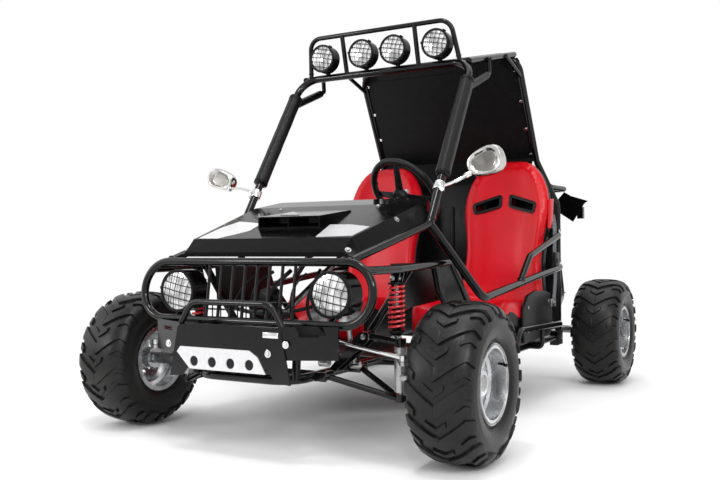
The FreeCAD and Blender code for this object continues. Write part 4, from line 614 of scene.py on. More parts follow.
seat = dict(
    middle=0.259,
    # front of the upholstery (y, z), back or underside of the shell (y, z), half width, depth of the side
    stations=[
        (613, 214, 640, 199, 158, 14), (603, 250, 655, 199, 166, 26), (601, 300, 672, 199, 170, 40),
        (607, 338, 690, 199, 171, 56), (636, 361, 716, 199, 171, 84), (690, 361, 752, 199, 171, 96),
        (760, 354, 808, 199, 171, 84), (840, 345, 872, 199, 171, 60), (915, 336, 938, 199, 171, 44),
        (968, 331, 1010, 199, 170, 38), (1003, 340, 1078, 205, 170, 36), (1022, 372, 1097, 265, 168, 34),
        (1034, 430, 1112, 345, 158, 34), (1046, 500, 1125, 440, 149, 34), (1058, 570, 1134, 520, 153, 34),
        (1069, 635, 1143, 600, 165, 34), (1081, 695, 1151, 670, 171, 34), (1093, 752, 1160, 735, 161, 32),
        (1104, 800, 1167, 788, 141, 30), (1114, 838, 1173, 828, 114, 26), (1124, 862, 1176, 852, 84, 20),
        (1138, 872, 1172, 864, 50, 12),
    ],
    # share of the half width and millimetres below the surface, round the pad from the middle
    padLoop=[(0.0, 20), (0.3, 19.5), (0.52, 16), (0.68, 7), (0.79, 1), (0.88, 0.5), (0.95, 5), (0.99, 14),
             (1.0, 24)],
    shellLoop=[(0.0, 27), (0.5, 27), (0.9, 27), (0.975, 30), (0.995, 38)],
    slots=[(15, 738), (127, 702), (117, 658), (13, 686)], slotShare=0.84, slotCorner=0.008,
    trimCorner=0.013, trimWidth=0.0105, trimLift=5.0, trimDepth=0.022, trimRound=0.0035,
    voxel=0.007, swellCap=0.004, frames=12,
)
stuffing = dict(
    use_pressure=True, uniform_pressure_force=4.0, quality=4, tension_stiffness=25, bending_stiffness=6,
)


def padSection(share):
    side = between(seat["stations"], share)[5]
    fade = min(1.0, (1 - share) / 0.16, share / 0.1)  # the bolsters run out towards both ends
    front = []
    for a, depth in seat["padLoop"]:
        depth = 20 + (depth - 20) * fade if a < 0.8 else depth + (1 - fade) * (10 if depth < 8 else 0)
        front.append((a, depth * (0.45 + 0.55 * fade)))
    under = 27 + side
    edge = [(0.995, 26 + (side - 26) * 0.6), (0.97, 24 + side * 0.9)]
    return front + edge + [(0.9, under), (0.45, under), (0.0, under)]


def shellSection(share):
    frontY, frontZ, backY, backZ = between(seat["stations"], share)[:4]
    deep = math.dist((frontY, frontZ), (backY, backZ))
    edge = [(1.0, 27 + (deep - 27) * 0.5), (0.985, deep - 12), (0.95, deep - 4)]
    return seat["shellLoop"] + edge + [(0.88, deep), (0.45, deep), (0.0, deep)]


def seatForm(bm, section, middle, grow=0.0):
    around = 2 * (len(section(0.5)) - 1)

    def shape(u, v):
        number = round(v * around) % around
        rows = section(u)
        side = 1 if number < len(rows) else -1
        share, depth = rows[number if side > 0 else around - number]
        frontY, frontZ, backY, backZ, half = between(seat["stations"], u)[:5]
        inward = Vector((backY - frontY, backZ - frontZ)).normalized() * depth
        return at((half + grow) * share * side, frontY + inward.x, frontZ + inward.y) + alongX * middle

    wrapGrid(bm, len(seat["stations"]) - 1, around, shape, closeAcross=True)
    capEnds(bm)


def evaluated(piece):
    return bpy.data.meshes.new_from_object(piece.evaluated_get(bpy.context.evaluated_depsgraph_get()))


def applyModifier(piece, kind, **settings):
    setAll(piece.modifiers.new("shaping", kind), **settings)
    mesh = evaluated(piece)
    piece.modifiers.clear()
    piece.data = mesh


def stuffPad(pad):  # the cloth pass: the pad swells a little against its own skin
    scene = bpy.context.scene
    bpy.context.view_layer.objects.active = pad
    applyModifier(pad, "REMESH", mode="VOXEL", voxel_size=seat["voxel"], use_smooth_shade=True)
    rest = [vert.co.copy() for vert in pad.data.vertices]
    cloth = pad.modifiers.new("stuffing", "CLOTH").settings
    cloth.effector_weights.gravity = 0.0
    setAll(cloth, **stuffing)
    for number in range(1, seat["frames"] + 1):
        scene.frame_set(number)
    swollen = evaluated(pad)
    pad.modifiers.clear()
    scene.frame_set(1)
    for vert, start, end in zip(pad.data.vertices, rest, swollen.vertices):
        move = end.co - start
        vert.co = start + move.normalized() * min(move.length, seat["swellCap"])
    bpy.data.meshes.remove(swollen)
    pad.data.update()


def slotCutter(middle, side):
    bm = bmesh.new()
    slots, shrink = seat["slots"], seat["slotShare"]
    centreX, centreZ = (sum(slot[k] for slot in slots) / len(slots) for k in (0, 1))
    corners = [at((centreX + (x - centreX) * shrink) * side, 1000, centreZ + (z - centreZ) * shrink)
               + alongX * middle for x, z in slots]
    addPlate(bm, corners, (0, 0.3, 0), corner=seat["slotCorner"])
    bmesh.ops.recalc_face_normals(bm, faces=bm.faces)
    mesh = bpy.data.meshes.new("seatCutter")
    bm.to_mesh(mesh)
    bm.free()
    return linkObject("seatCutter", mesh)


def buildSeatTrim(hand, middle, tree):  # rounded frames round the slots, laid on the pad
    bm = startShape()
    for flip in (1, -1):
        verts = [bm.verts.new((x * flip / 1000, 0, z / 1000)) for x, z in seat["slots"]]
        bm.faces.new(verts)
        bevelCorners(bm, verts, seat["trimCorner"], 6)
        hole = [f for f in bm.faces if all(len(e.link_faces) == 1 for e in f.edges) and len(f.verts) > 8][-1]
        ring = bmesh.ops.inset_region(bm, faces=[hole], thickness=seat["trimWidth"], use_boundary=True,
                                      use_even_offset=True)["faces"]
        bmesh.ops.delete(bm, geom=[hole], context="FACES_ONLY")
        for vert in {v for f in ring for v in f.verts}:
            hit = tree.ray_cast(at(vert.co.x * 1000 + middle * 1000, 700, vert.co.z * 1000), alongY)[0]
            vert.co = hit - alongY * seat["trimLift"] / 1000
        pushFaces(bm, ring, (0, seat["trimDepth"], 0))
        rims = {e for f in ring for e in f.edges if any(g not in ring for g in e.link_faces)}
        bevelEdges(bm, list(rims), seat["trimRound"], 3)
    finishPiece("seatTrim_" + hand, bm, "foamBlack", sharp=50)


def buildSeat(hand, side):
    middle, node = seat["middle"] * side, "seat_" + hand
    bm = startShape()
    seatForm(bm, padSection, middle, -0.5)
    pad = finishPiece("seatPad_" + hand, bm, "redVinyl", node, sharp=80)
    bm = startShape()
    seatForm(bm, shellSection, middle)
    shell = finishPiece("seatShell_" + hand, bm, "blackVinyl", node, sharp=50)
    for piece in (pad, shell):
        applyModifier(piece, "SUBSURF", levels=1, render_levels=1)
    stuffPad(pad)
    buildSeatTrim(hand, middle, BVHTree.FromObject(pad, bpy.context.evaluated_depsgraph_get()))
    cutters = [slotCutter(middle, 1), slotCutter(middle, -1)]
    for piece, angle in ((pad, 60), (shell, 50)):
        for cutter in cutters:
            applyModifier(piece, "BOOLEAN", operation="DIFFERENCE", solver="EXACT", object=cutter)
        piece.data.shade_smooth()
        piece.data.set_sharp_from_angle(angle=math.radians(angle))
    for cutter in cutters:
        bpy.data.objects.remove(cutter)


for hand, side in hands:
    buildSeat(hand, side)
print("seats made")


lampShape = dict(
    headlamp=(0.053, 0.059), roofLamp=(0.043, 0.048), dome=0.007, wires=5, wire=0.0011, wireSpan=0.72,
    lean=0.2, clips=(0.9, 3.0, 5.1), clipSize=(0.008, 0.014, 0.008),
)


def domeLift(radius, across, up):
    return lampShape["dome"] * (1 - (across * across + up * up) / (radius * radius))


def buildLamp(name, centre, radius, shell, lensNode):
    forward = -alongY
    bm = startShape()
    dome = [(domeLift(radius, radius * k / 6, 0), radius * k / 6) for k in range(7)]
    addLathe(bm, centre, forward, dome + [(-0.006, radius - 0.0008), (-0.006, 0.0)], 40)
    finishPiece(name + "Lens", bm, "reflector", lensNode)
    bm = startShape()
    ring = [(0.0, radius - 0.0015), (0.0026, radius - 0.001), (0.0035, radius + 0.0012),
            (0.0026, shell + 0.0004), (-0.004, shell + 0.0012), (-0.008, shell + 0.0004), (-0.008, radius)]
    addLathe(bm, centre, forward, ring + ring[:1], 40)
    lean = Matrix.Rotation(lampShape["lean"], 3, "Y")
    for k in range(lampShape["wires"]):
        offset = radius * lampShape["wireSpan"] * (2 * k / (lampShape["wires"] - 1) - 1)
        half = math.sqrt(radius * radius - offset * offset) * 0.985
        for flip in (0, 1):
            points = []
            for step in range(7):
                along = half * (step / 3 - 1)
                x, z = (offset, along) if flip else (along, offset)
                x *= 1 + 0.06 * math.cos(step)
                lift = domeLift(radius, x, z) + 0.0035 + 0.0015 * flip
                points.append(centre + lean @ Vector((x, 0, z)) + forward * max(lift, 0.001))
            addPipe(bm, points, lampShape["wire"], 1)
    for turn in lampShape["clips"]:
        spot = centre + Vector((math.cos(turn), 0, math.sin(turn))) * (shell + 0.001) + alongY * 0.006
        addBlock(bm, spot, lampShape["clipSize"], 0.001, Matrix.Rotation(-turn, 4, "Y"))
    finishPiece(name + "Cage", bm, "satinBlack")


for hand, side in hands:
    buildLamp("headlamp_" + hand, at(249 * side, -168, 422), *lampShape["headlamp"], "headlamp_lenses")
for number, across in enumerate((217, 61, -61, -217)):
    buildLamp("roofLamp_%d" % number, at(across, 548, 1204), *lampShape["roofLamp"], "roof_lamp_lenses")
print("lamps made")

pillar = ((333, 322, 757), (329, 540, 1087))
mirror = dict(
    wide=0.058, tilt=0.32, power=2.6, taper=0.14, paintedReflectionShare=0.68, clamp=0.0172, clampHalf=0.014, arm=0.0052,
    profile=[(-10, 0), (-10.5, 0.45), (-11, 0.62), (-14, 0.7), (-16.5, 0.78), (-17, 0.84), (-15, 0.92),
             (-8, 0.98), (2, 1.0), (12, 0.985), (16, 0.94), (17, 0.9), (16, 0.86), (14.5, 0.85), (14.5, 0)],
    nuts=[((0.006, -0.0165, 0.006), 0.25), ((0.012, -0.013, -0.008), 0.55)],
)


def buildMirror(hand, side, route, head, tall):
    bm = startShape()
    addLathe(bm, (0, 0, 0), alongY, [(a / 1000, r) for a, r in mirror["profile"]], 48)
    wide, power = mirror["wide"], mirror["power"]
    for vert in bm.verts:  # the round head becomes a rounded box that is taller on its outer side
        turn, out = math.atan2(vert.co.z, vert.co.x), math.hypot(vert.co.x, vert.co.z)
        across, up = math.cos(turn), math.sin(turn)
        out *= (abs(across) ** power + abs(up) ** power) ** (-1 / power)
        vert.co.x, vert.co.z = wide * out * across, tall * out * up * (1 + mirror["taper"] * across)
    bmesh.ops.scale(bm, vec=(side, 1, 1), verts=bm.verts)
    turnHead = Matrix.Rotation(-mirror["tilt"] * side, 4, "Y")
    bmesh.ops.transform(bm, matrix=Matrix.Translation(head + alongY * 0.017) @ turnHead, verts=bm.verts)
    paintNew(bm, 0)
    # faces in an oval round the middle of the head get the darker chrome, a painted reflection on the chrome
    # shell
    for face in bm.faces:
        offset = face.calc_center_median() - head
        if math.hypot(offset.x / wide, offset.z / tall) < mirror["paintedReflectionShare"]:
            face.material_index = 2
    points = [at(*p) for p in route]
    foot, tip = points[0], points[-1]
    line = (at(*pillar[1]) - at(*pillar[0])).normalized() * mirror["clampHalf"]
    addRod(bm, foot - line, foot + line, mirror["clamp"], 24, rounding=0.0015)
    for (x, y, z), lean in mirror["nuts"]:
        addNut(bm, foot + Vector((side * x, y, z)), (side * lean, -1, 0.2), 0.009, 0.006)
    addPipe(bm, points + [head + Vector((-side * 0.03, 0.018, -0.02))], mirror["arm"])
    way = (tip - points[-2]).normalized()
    addRod(bm, tip - way * 0.012, tip + way * 0.006, 0.0085, rounding=0.0015)
    paintNew(bm, 1)
    finishPiece("mirror_" + hand, bm, "mirrorShell chromed mirrorDark", "mirrors", sharp=40)


buildMirror("left", 1, [(333, 313, 716), (366, 316, 722), (412, 348, 752)], at(458, 352, 788), 0.043)
buildMirror("right", -1, [(-333, 313, 716), (-372, 300, 740), (-474, 348, 742)], at(-521, 352, 778), 0.034)

shock = dict(
    turns=9, perTurn=22, coil=0.0195, wire=0.0036, cup=0.0235, damper=0.0125, rings=3, ring=0.0142,
    shaft=0.006, eye=0.0105, eyeHalf=0.011,
)


def addCoil(bm, start, end):
    axis = (end - start).normalized()
    out = axis.orthogonal().normalized()
    steps = shock["turns"] * shock["perTurn"]
    verts = bmesh.ops.create_circle(bm, segments=8, radius=shock["wire"], cap_ends=True)["verts"]
    turn = Matrix((out, axis, axis.cross(out))).transposed().to_4x4()
    bmesh.ops.transform(bm, matrix=Matrix.Translation(start + out * shock["coil"]) @ turn, verts=verts)
    bmesh.ops.spin(bm, geom=verts + edgesOf(verts) + facesOf(verts), cent=start, axis=axis, steps=steps,
                   dvec=(end - start) / steps, angle=math.tau * shock["turns"])


def buildShock(name, low, high, node):
    run = high - low
    axis = run.normalized()
    base, top = low + run * 0.12, high - run * 0.1
    bm = startShape()
    addCoil(bm, base + axis * 0.004, top - axis * 0.004)
    paintNew(bm, 0)
    addRod(bm, base - axis * 0.004, base + axis * 0.001, shock["cup"], 28, rounding=0.001)
    addRod(bm, top - axis * 0.001, top + axis * 0.004, shock["cup"], 28, rounding=0.001)
    addRod(bm, base, base + run * 0.42, shock["damper"], 24, rounding=0.001)
    addRod(bm, base - axis * 0.011, base - axis * 0.003, 0.0165, 24, 0.0205)
    for k in range(shock["rings"]):
        spot = base + axis * (0.012 + k * 0.006)
        addRod(bm, spot, spot + axis * 0.003, shock["ring"], 24, rounding=0.0006)
    paintNew(bm, 1)
    addRod(bm, base + run * 0.4, high - axis * 0.008, shock["shaft"], 20)
    half = alongY * shock["eyeHalf"]
    for eye in (low, high):
        addRod(bm, eye - half, eye + half, shock["eye"], 24, rounding=0.0015)
        addNut(bm, eye - alongY * 0.0205, -alongY, 0.013, 0.006, False)
    finishPiece(name, bm, "springRed satinBlack zinc", node, sharp=40)


for hand, side in hands:
    buildShock("frontShock_" + hand, at(336 * side, 26, 300), at(336 * side, 26, 458), "front_shocks")
    buildShock("rearShock_" + hand, at(205 * side, 1290, 236), at(215 * side, 1215, 538), "rear_shocks")
print("shocks made")

pads = dict(foot=(335, 240, 606), top=(328, 595, 1143), radius=22.6, ridges=7, ridge=0.9, strap=0.0237)
grab = dict(route=[(330, 528, 1040), (330, 742, 1126), (330, 738, 1178)], bar=0.008, foot=0.011, foam=13.2)


def buildPad(hand, side):
    low, high, foot, top = (at(x * side, y, z) for x, y, z in (*pillar, pads["foot"], pads["top"]))
    line = (top - foot).normalized()
    low, high = (foot + line * (end - foot).dot(line) for end in (low, high))
    out = (-alongY).cross(line).normalized()
    front = line.cross(out)

    def radiusAt(turn, v):  # ridges along the foam, fading to its ends, and a few soft dents
        ends = min(v, 1 - v) * (high - low).length * 1000
        ridge = pads["ridge"] * (0.5 + 0.5 * math.cos(turn * pads["ridges"])) * min(1, ends / 14)
        dent = 0.35 * math.sin(v * 31 + side) * math.sin(turn * 2 + v * 9)
        return pads["radius"] - 9 * max(0, 1 - ends / 6) ** 2 + ridge + dent - 0.6

    bm = startShape()
    addSleeve(bm, low, high, out, front, 84, 60, radiusAt)
    finishPiece("pillarPad_" + hand, bm, "foamBlack", "pillar_pads", sharp=60)
    bm = startShape()
    for share in (0.03, 0.97):
        spot = low + (high - low) * share
        addRod(bm, spot - line * 0.006, spot + line * 0.006, pads["strap"], 32, rounding=0.0012)
        addBlock(bm, spot - front * 0.0245, (0.006, 0.003, 0.008), 0.0006, lookAlong(line))
    finishPiece("padStraps_" + hand, bm, "satinBlack")


def buildGrab(hand, side):
    low, bend, high = (at(x * side, y, z) for x, y, z in grab["route"])
    bm = startShape()
    first, last = low + (bend - low) * 0.12, low + (bend - low) * 0.9
    addPipe(bm, [low, last, bend, bend + (high - bend) * 0.3, high], grab["bar"], 3)
    for spot, way in ((low, (bend - low).normalized()), (high, (high - bend).normalized())):
        addRod(bm, spot - way * 0.006, spot + way * 0.003, grab["foot"], 20, rounding=0.001)
    finishPiece("grabBar_" + hand, bm, "frameBlack", "grab_handles")
    axis = (last - first).normalized()
    out = axis.orthogonal().normalized()

    def radiusAt(turn, v):
        ends = min(v, 1 - v) * (last - first).length * 1000
        return grab["foam"] - 4.5 * max(0, 1 - ends / 4) ** 2 + 0.35 * math.sin(v * 120)

    bm = startShape()
    addSleeve(bm, first, last, out, axis.cross(out), 36, 90, radiusAt)
    finishPiece("grabFoam_" + hand, bm, "foamBlack", "grab_handles", sharp=60)


for hand, side in hands:
    buildPad(hand, side)
    buildGrab(hand, side)
print("pads made")


def skinOf(*nodeNames):  # a tree of the nodes' faces, to lay pieces on
    bm = bmesh.new()
    for nodeName in nodeNames:
        item = bpy.data.objects[nodeName]
        mesh = item.data.copy()
        mesh.transform(item.matrix_world)
        bm.from_mesh(mesh)
        bpy.data.meshes.remove(mesh)
    tree = BVHTree.FromBMesh(bm)
    bm.free()
    return tree


patches = [
    ("patchLeft", "insertSilver", [(-248, -78), (-175, -80), (-119, -6), (-130, 68), (-234, 97), (-252, 33)]),
    ("patchRight", "patchGrey", [(150, -78), (123, 41), (196, 36), (265, 12), (258, -71)]),
    ("patchMiddle", "hoodGrey", [(-55, 52), (-101, 189), (18, 47)]),
]
hoodBolts = ((-176, 232), (167, 242), (-268, -110), (268, -110), (-290, 120), (290, 120))
hoodTop = skinOf("hood", "hood_scoop")


def buildPatch(name, finish, corners):
    bm = startShape()
    face = bm.faces.new([bm.verts.new(at(x, y, 900)) for x, y in corners])
    bmesh.ops.recalc_face_normals(bm, faces=[face])
    bevelCorners(bm, list(bm.verts), 0.004, 3)
    bmesh.ops.triangulate(bm, faces=bm.faces)
    bmesh.ops.subdivide_edges(bm, edges=bm.edges, cuts=3, use_grid_fill=True)
    for vert in bm.verts:
        hit = hoodTop.ray_cast(vert.co, -alongZ)[0]
        if hit:
            vert.co = hit + alongZ * 0.0004
    pushFaces(bm, bm.faces[:], (0, 0, 0.0011))
    finishPiece(name, bm, finish, sharp=30)


def buildHoodBolts():
    bm = startShape()
    for x, y in hoodBolts:
        hit, normal = hoodTop.ray_cast(at(x, y, 900), -alongZ)[:2]
        if hit:
            normal = normal if normal.z > 0 else -normal
            addRod(bm, hit, hit + normal * 0.0012, 0.0085, 20)
            addRod(bm, hit + normal * 0.001, hit + normal * 0.0048, 0.0055, 20, 0.0035, 0.0008)
    finishPiece("hoodBolts", bm, "zinc")


for patch in patches:
    buildPatch(*patch)
buildHoodBolts()

bumper = dict(
    y=-262, bolts=[(-195, 289), (127, 279), (180, 304)],
    clip=[(112, 318), (158, 318), (158, 332), (112, 332)],
)
grille = dict(left=-168, right=118, low=306, high=396, columns=10, rows=4, y=-150, wire=0.0019)
hoseRoutes = [  # cables and hoses behind the guard
    [(-120, -90, 330), (-110, -110, 400), (-60, -100, 450), (-40, -60, 480)],
    [(-60, -80, 320), (-30, -120, 390), (-50, -110, 440), (10, -70, 475)],
    [(20, -90, 330), (-10, -125, 380), (30, -120, 430), (60, -60, 478)],
    [(80, -100, 330), (110, -125, 380), (70, -110, 430), (110, -60, 470)],
    [(140, -80, 340), (120, -110, 400), (160, -100, 440), (140, -40, 480)],
    [(-150, -60, 380), (-60, -120, 360), (60, -110, 350), (150, -60, 390)],
]


def buildBumperTrim():
    bm = startShape()
    for x, z in bumper["bolts"]:
        spot = at(x, bumper["y"], z)
        addRod(bm, spot, spot - alongY * 0.002, 0.0095, 20, rounding=0.0006)
        addRod(bm, spot, spot - alongY * 0.0065, 0.0065, 20, 0.0042, 0.001)
    addPlate(bm, [at(x, bumper["y"], z) for x, z in bumper["clip"]], (0, -0.0024, 0), rounding=0.0008)
    finishPiece("bumperBolts", bm, "chromed")


def buildGrilleMesh():
    bm = startShape()
    left, right, low, high, y = (grille[key] for key in ("left", "right", "low", "high", "y"))
    for k in range(grille["columns"] + 1):
        x = left + (right - left) * k / grille["columns"]
        addPipe(bm, [at(x, y, low), at(x, y, high)], grille["wire"], 1)
    for k in range(grille["rows"] + 1):
        z = low + (high - low) * k / grille["rows"]
        addPipe(bm, [at(left, y + 3, z), at(right, y + 3, z)], grille["wire"] * 1.4, 1)
    finishPiece("grilleMesh", bm, "frameBlack")


def buildHoses():
    bm = startShape()
    for number, route in enumerate(hoseRoutes):
        addPipe(bm, [at(*point) for point in route], 0.0035 + 0.0012 * (number % 3), 1, 4)
    addRod(bm, at(0, -60, 400), at(0, -96, 400), 0.034, 28, 0.03, 0.003)
    addRod(bm, at(0, -96, 400), at(0, -101, 400), 0.022, 24, rounding=0.002)
    finishPiece("hoses", bm, "foamBlack")


firewall = dict(
    y=1190, outline=[(434, 250), (434, 690), (404, 742), (318, 786)], ribs=(-300, -150, 0, 150, 300),
    apron=((-318, 1193, 784), (318, 1193, 784), (324, 1240, 890), (-324, 1240, 890)),  # up to the back sheet
)


def buildFirewall():
    bm = startShape()
    y, half = firewall["y"], firewall["outline"]
    corners = [at(x, y, z) for x, z in half] + [at(-x, y, z) for x, z in reversed(half)]
    addPlate(bm, corners, (0, 0.003, 0), rounding=0.0008)
    for x in firewall["ribs"]:
        addBlock(bm, at(x, y - 3, 500), (0.018, 0.006, 0.4), 0.0025)
    for z in (300, 500, 700):
        for x in (-380, 380):
            addNut(bm, at(x, y, z), -alongY, 0.012, 0.005)
    addPlate(bm, [at(*corner) for corner in firewall["apron"]], (0, 0.0025, 0))
    finishPiece("firewall", bm, "satinBlack")


buildBumperTrim()
buildGrilleMesh()
buildHoses()
buildFirewall()

cover = dict(
    x=431, bolts=((800, 250), (1040, 250), (1030, 340), (800, 330)),
    outline=[(760, 214), (742, 262), (752, 330), (800, 372), (880, 384), (1000, 378), (1058, 366),
             (1080, 300), (1076, 240), (1050, 214)],
    patch=[(1086, 604), (1094, 650), (1102, 712), (1146, 716), (1138, 650), (1126, 604)],
)
belt = dict(
    route=[(424, 1152, 652), (436, 1130, 600), (444, 1110, 520), (447, 1098, 430), (440, 1092, 330)],
    half=Vector((0, 0.023, 0.006)), thick=0.0022,
)


def buildSeatCover(hand, side):
    bm = startShape()
    x, out = cover["x"] * side, alongX * side
    addPlate(bm, [at(x, y, z) for y, z in cover["outline"]], out * 0.012, rounding=0.004)
    paintNew(bm, 0)
    addPlate(bm, [at(x - 8 * side, y, z) for y, z in cover["patch"]], out * 0.009, rounding=0.003)
    paintNew(bm, 1)
    for y, z in cover["bolts"]:
        addRod(bm, at(x, y, z) + out * 0.011, at(x, y, z) + out * 0.014, 0.006, rounding=0.001)
    finishPiece("seatCover_" + hand, bm, "blackVinyl redVinyl zinc")


def buildBelt(hand, side):  # webbing from the shell's side down to the seat base, with its buckle
    bm = startShape()
    points = [at(x * side, y, z) for x, y, z in belt["route"]]

    def strap(u, v):
        bend = alongX * side * 0.002 * math.sin(v * 9)
        return Vector(between(points, v)) + belt["half"] * (u * 2 - 1) + bend

    wrapGrid(bm, 6, 40, strap)
    bmesh.ops.recalc_face_normals(bm, faces=bm.faces)
    bmesh.ops.solidify(bm, geom=bm.faces[:], thickness=belt["thick"])
    paintNew(bm, 0)
    addBlock(bm, points[2] + Vector((side * 0.003, 0, -0.03)), (0.016, 0.054, 0.05), 0.004)
    addBlock(bm, points[2] + Vector((side * 0.011, 0, -0.036)), (0.006, 0.03, 0.018), 0.002)
    paintNew(bm, 1)
    addBlock(bm, points[-1] + alongX * side * 0.002, (0.006, 0.056, 0.03), 0.002)
    addNut(bm, points[-1], (side, 0, 0), 0.015, 0.009)
    finishPiece("belt_" + hand, bm, "webNavy foamBlack zinc")


for build in (buildSeatCover, buildBelt):
    for hand, side in hands:
        build(hand, side)
print("body trim made")

engine = dict(
    crank=(0, 1250, 300), barrel=(0, 1225, 352), tilt=-24, fins=9, finPitch=0.009, finThick=0.0032, bolts=8,
    covers={100: [(0, 0.06), (0.022, 0.06), (0.034, 0.054), (0.038, 0.04), (0.038, 0)],
            -100: [(0, 0.056), (0.024, 0.056), (0.034, 0.05), (0.038, 0.03), (0.038, 0)]},
)


def buildEngine():  # a small single with its finned barrel laid forward, covers, carburettor and starter
    bm = startShape()
    addBlock(bm, at(0, 1248, 300), (0.2, 0.128, 0.13), 0.016, None, 3)
    addBlock(bm, at(0, 1240, 246), (0.17, 0.14, 0.026), 0.01)
    for x, profile in engine["covers"].items():
        addLathe(bm, at(*engine["crank"]) + alongX * x / 1000, (x, 0, 0), profile)
    barrel = Matrix.Rotation(math.radians(engine["tilt"]), 4, "X")
    root, way = at(*engine["barrel"]), barrel @ alongZ
    for k in range(engine["fins"]):
        wide, deep = (0.108, 0.104) if k < engine["fins"] - 1 else (0.096, 0.09)
        spot = root + way * engine["finPitch"] * k
        addBlock(bm, spot, (wide, deep, engine["finThick"]), 0.0012, barrel)
    addRod(bm, root - way * 0.012, root + way * 0.078, 0.041, 32)
    addBlock(bm, root + way * 0.084, (0.078, 0.07, 0.014), 0.005, barrel)
    paintNew(bm, 0)
    for k in range(engine["bolts"]):
        for x, radius in ((132, 0.05), (-131, 0.046)):
            spot = at(x, 1250, 300) + spoke(math.tau * k / engine["bolts"]) * radius
            addRod(bm, spot, spot + alongX * math.copysign(0.006, x), 0.0042, 6)
    addRod(bm, at(-60, 1290, 380), at(-60, 1290, 440), 0.026, 24, rounding=0.004)
    addRod(bm, at(30, 1286, 376), at(30, 1304, 376), 0.024, 24, rounding=0.003)
    paintNew(bm, 1)
    addBlock(bm, at(60, 1285, 396), (0.07, 0.05, 0.06), 0.012, None, 3)
    addPipe(bm, [at(-20, 1190, 410), at(-60, 1180, 440), at(-90, 1210, 448), at(-96, 1260, 440)], 0.0045)
    addPipe(bm, [at(60, 1270, 420), at(80, 1230, 446), at(60, 1180, 440), at(20, 1170, 420)], 0.0038)
    finishPiece("engineUnit", bm, "castGrey zinc foamBlack", "engine")


drive = dict(
    x=155, axle=(1400, 203), engine=(1290, 300), bigTeeth=38, smallTeeth=13, pitch=0.0127,
    link=(0.0014, 0.0135, 0.0085),
    runs=[((1264, 290), (1311.6, 168)), ((1297, 327), (1423, 295))], caliper=(-155, 1325, 236),
    cable=[(-155, 1312, 262), (-150, 1290, 320), (-160, 1220, 380), (-180, 1160, 330), (-190, 1100, 200)],
)


def addTeeth(bm, hub, radius, teeth, tall):
    for k in range(teeth):
        way = spoke(math.tau * k / teeth)
        addRod(bm, hub + way * (radius - 0.003), hub + way * (radius + tall), 0.0042, 4, 0.002)


def buildDrive():
    x = drive["x"]
    bm = startShape()
    addTeeth(bm, at(x, *drive["axle"]), 0.0935, drive["bigTeeth"], 0.0035)
    for k in range(6):
        way = spoke(math.tau * k / 6)
        addNut(bm, at(x + 4, *drive["axle"]) + way * 0.045, alongX, 0.011, 0.006)
        addNut(bm, at(-x - 4, *drive["axle"]) + way * 0.036, -alongX, 0.01, 0.005)
    finishPiece("sprocketTeeth", bm, "chainSteel", body="rear_wheels")
    bm = startShape()
    for start, end, radius, segments in ((140, 163, 0.012, 20), (152, 158, 0.025, 28)):
        addRod(bm, at(start, *drive["engine"]), at(end, *drive["engine"]), radius, segments)
    addTeeth(bm, at(x, *drive["engine"]), 0.025, drive["smallTeeth"], 0.004)
    for start, end in drive["runs"]:
        start, end = at(x, *start), at(x, *end)
        way = (end - start).normalized()
        turn = Matrix.Rotation(math.atan2(way.z, way.y), 4, "X")
        for k in range(int((end - start).length / drive["pitch"])):
            spot = start + way * drive["pitch"] * (k + 0.5)
            apart = 0.0045 if k % 2 else 0.003
            for face in (1, -1):
                addBlock(bm, spot + alongX * apart * face, drive["link"], 0.0006, turn, 1)
    paintNew(bm, 0)
    addBlock(bm, at(*drive["caliper"]), (0.03, 0.046, 0.06), 0.006, Matrix.Rotation(0.5, 4, "X"))
    for z in (250, 224):
        addNut(bm, at(-171, 1325, z), -alongX, 0.011, 0.006)
    paintNew(bm, 1)
    addPipe(bm, [at(*point) for point in drive["cable"]], 0.0035)
    finishPiece("chainAndCaliper", bm, "chainSteel castGrey foamBlack")


muffler = dict(y=1490, z=400, bands=110, seams=148)
sheet = dict(
    rear=(330, 1035, 1250), knee=(335, 1245, 870), thick=0.0022, gap=0.0005, bolts=(0.14, 0.42, 0.68, 0.93),
    # share of the way down the sheet and millimetres in from its edge
    hem=[(0.03, 2), (0.06, -4), (0.5, -5), (0.97, -4), (1.0, 4), (0.98, 70), (0.93, 52), (0.86, 26),
         (0.2, 26), (0.12, 60), (0.04, 66)],
    tie=[(-0.012, 0.322), (-0.012, -0.322), (0.15, -0.296), (0.15, 0.296)],
)


def buildMufflerBands():  # clamp bands with their bolts, and end seams
    bm = startShape()
    y, z = muffler["y"], muffler["z"]
    for x in (-muffler["bands"], muffler["bands"]):
        addRing(bm, at(x, y, z), alongX, 0.0492, 0.0022, 40, 8)
        addBlock(bm, at(x, y, z + 50), (0.016, 0.02, 0.012), 0.002)
        addNut(bm, at(x + 8, y, z + 52), alongX, 0.009, 0.005)
    for x in (-muffler["seams"], muffler["seams"]):
        addRing(bm, at(x, y, z), alongX, 0.0476, 0.0022, 40, 8)
    finishPiece("mufflerBands", bm, "zinc")


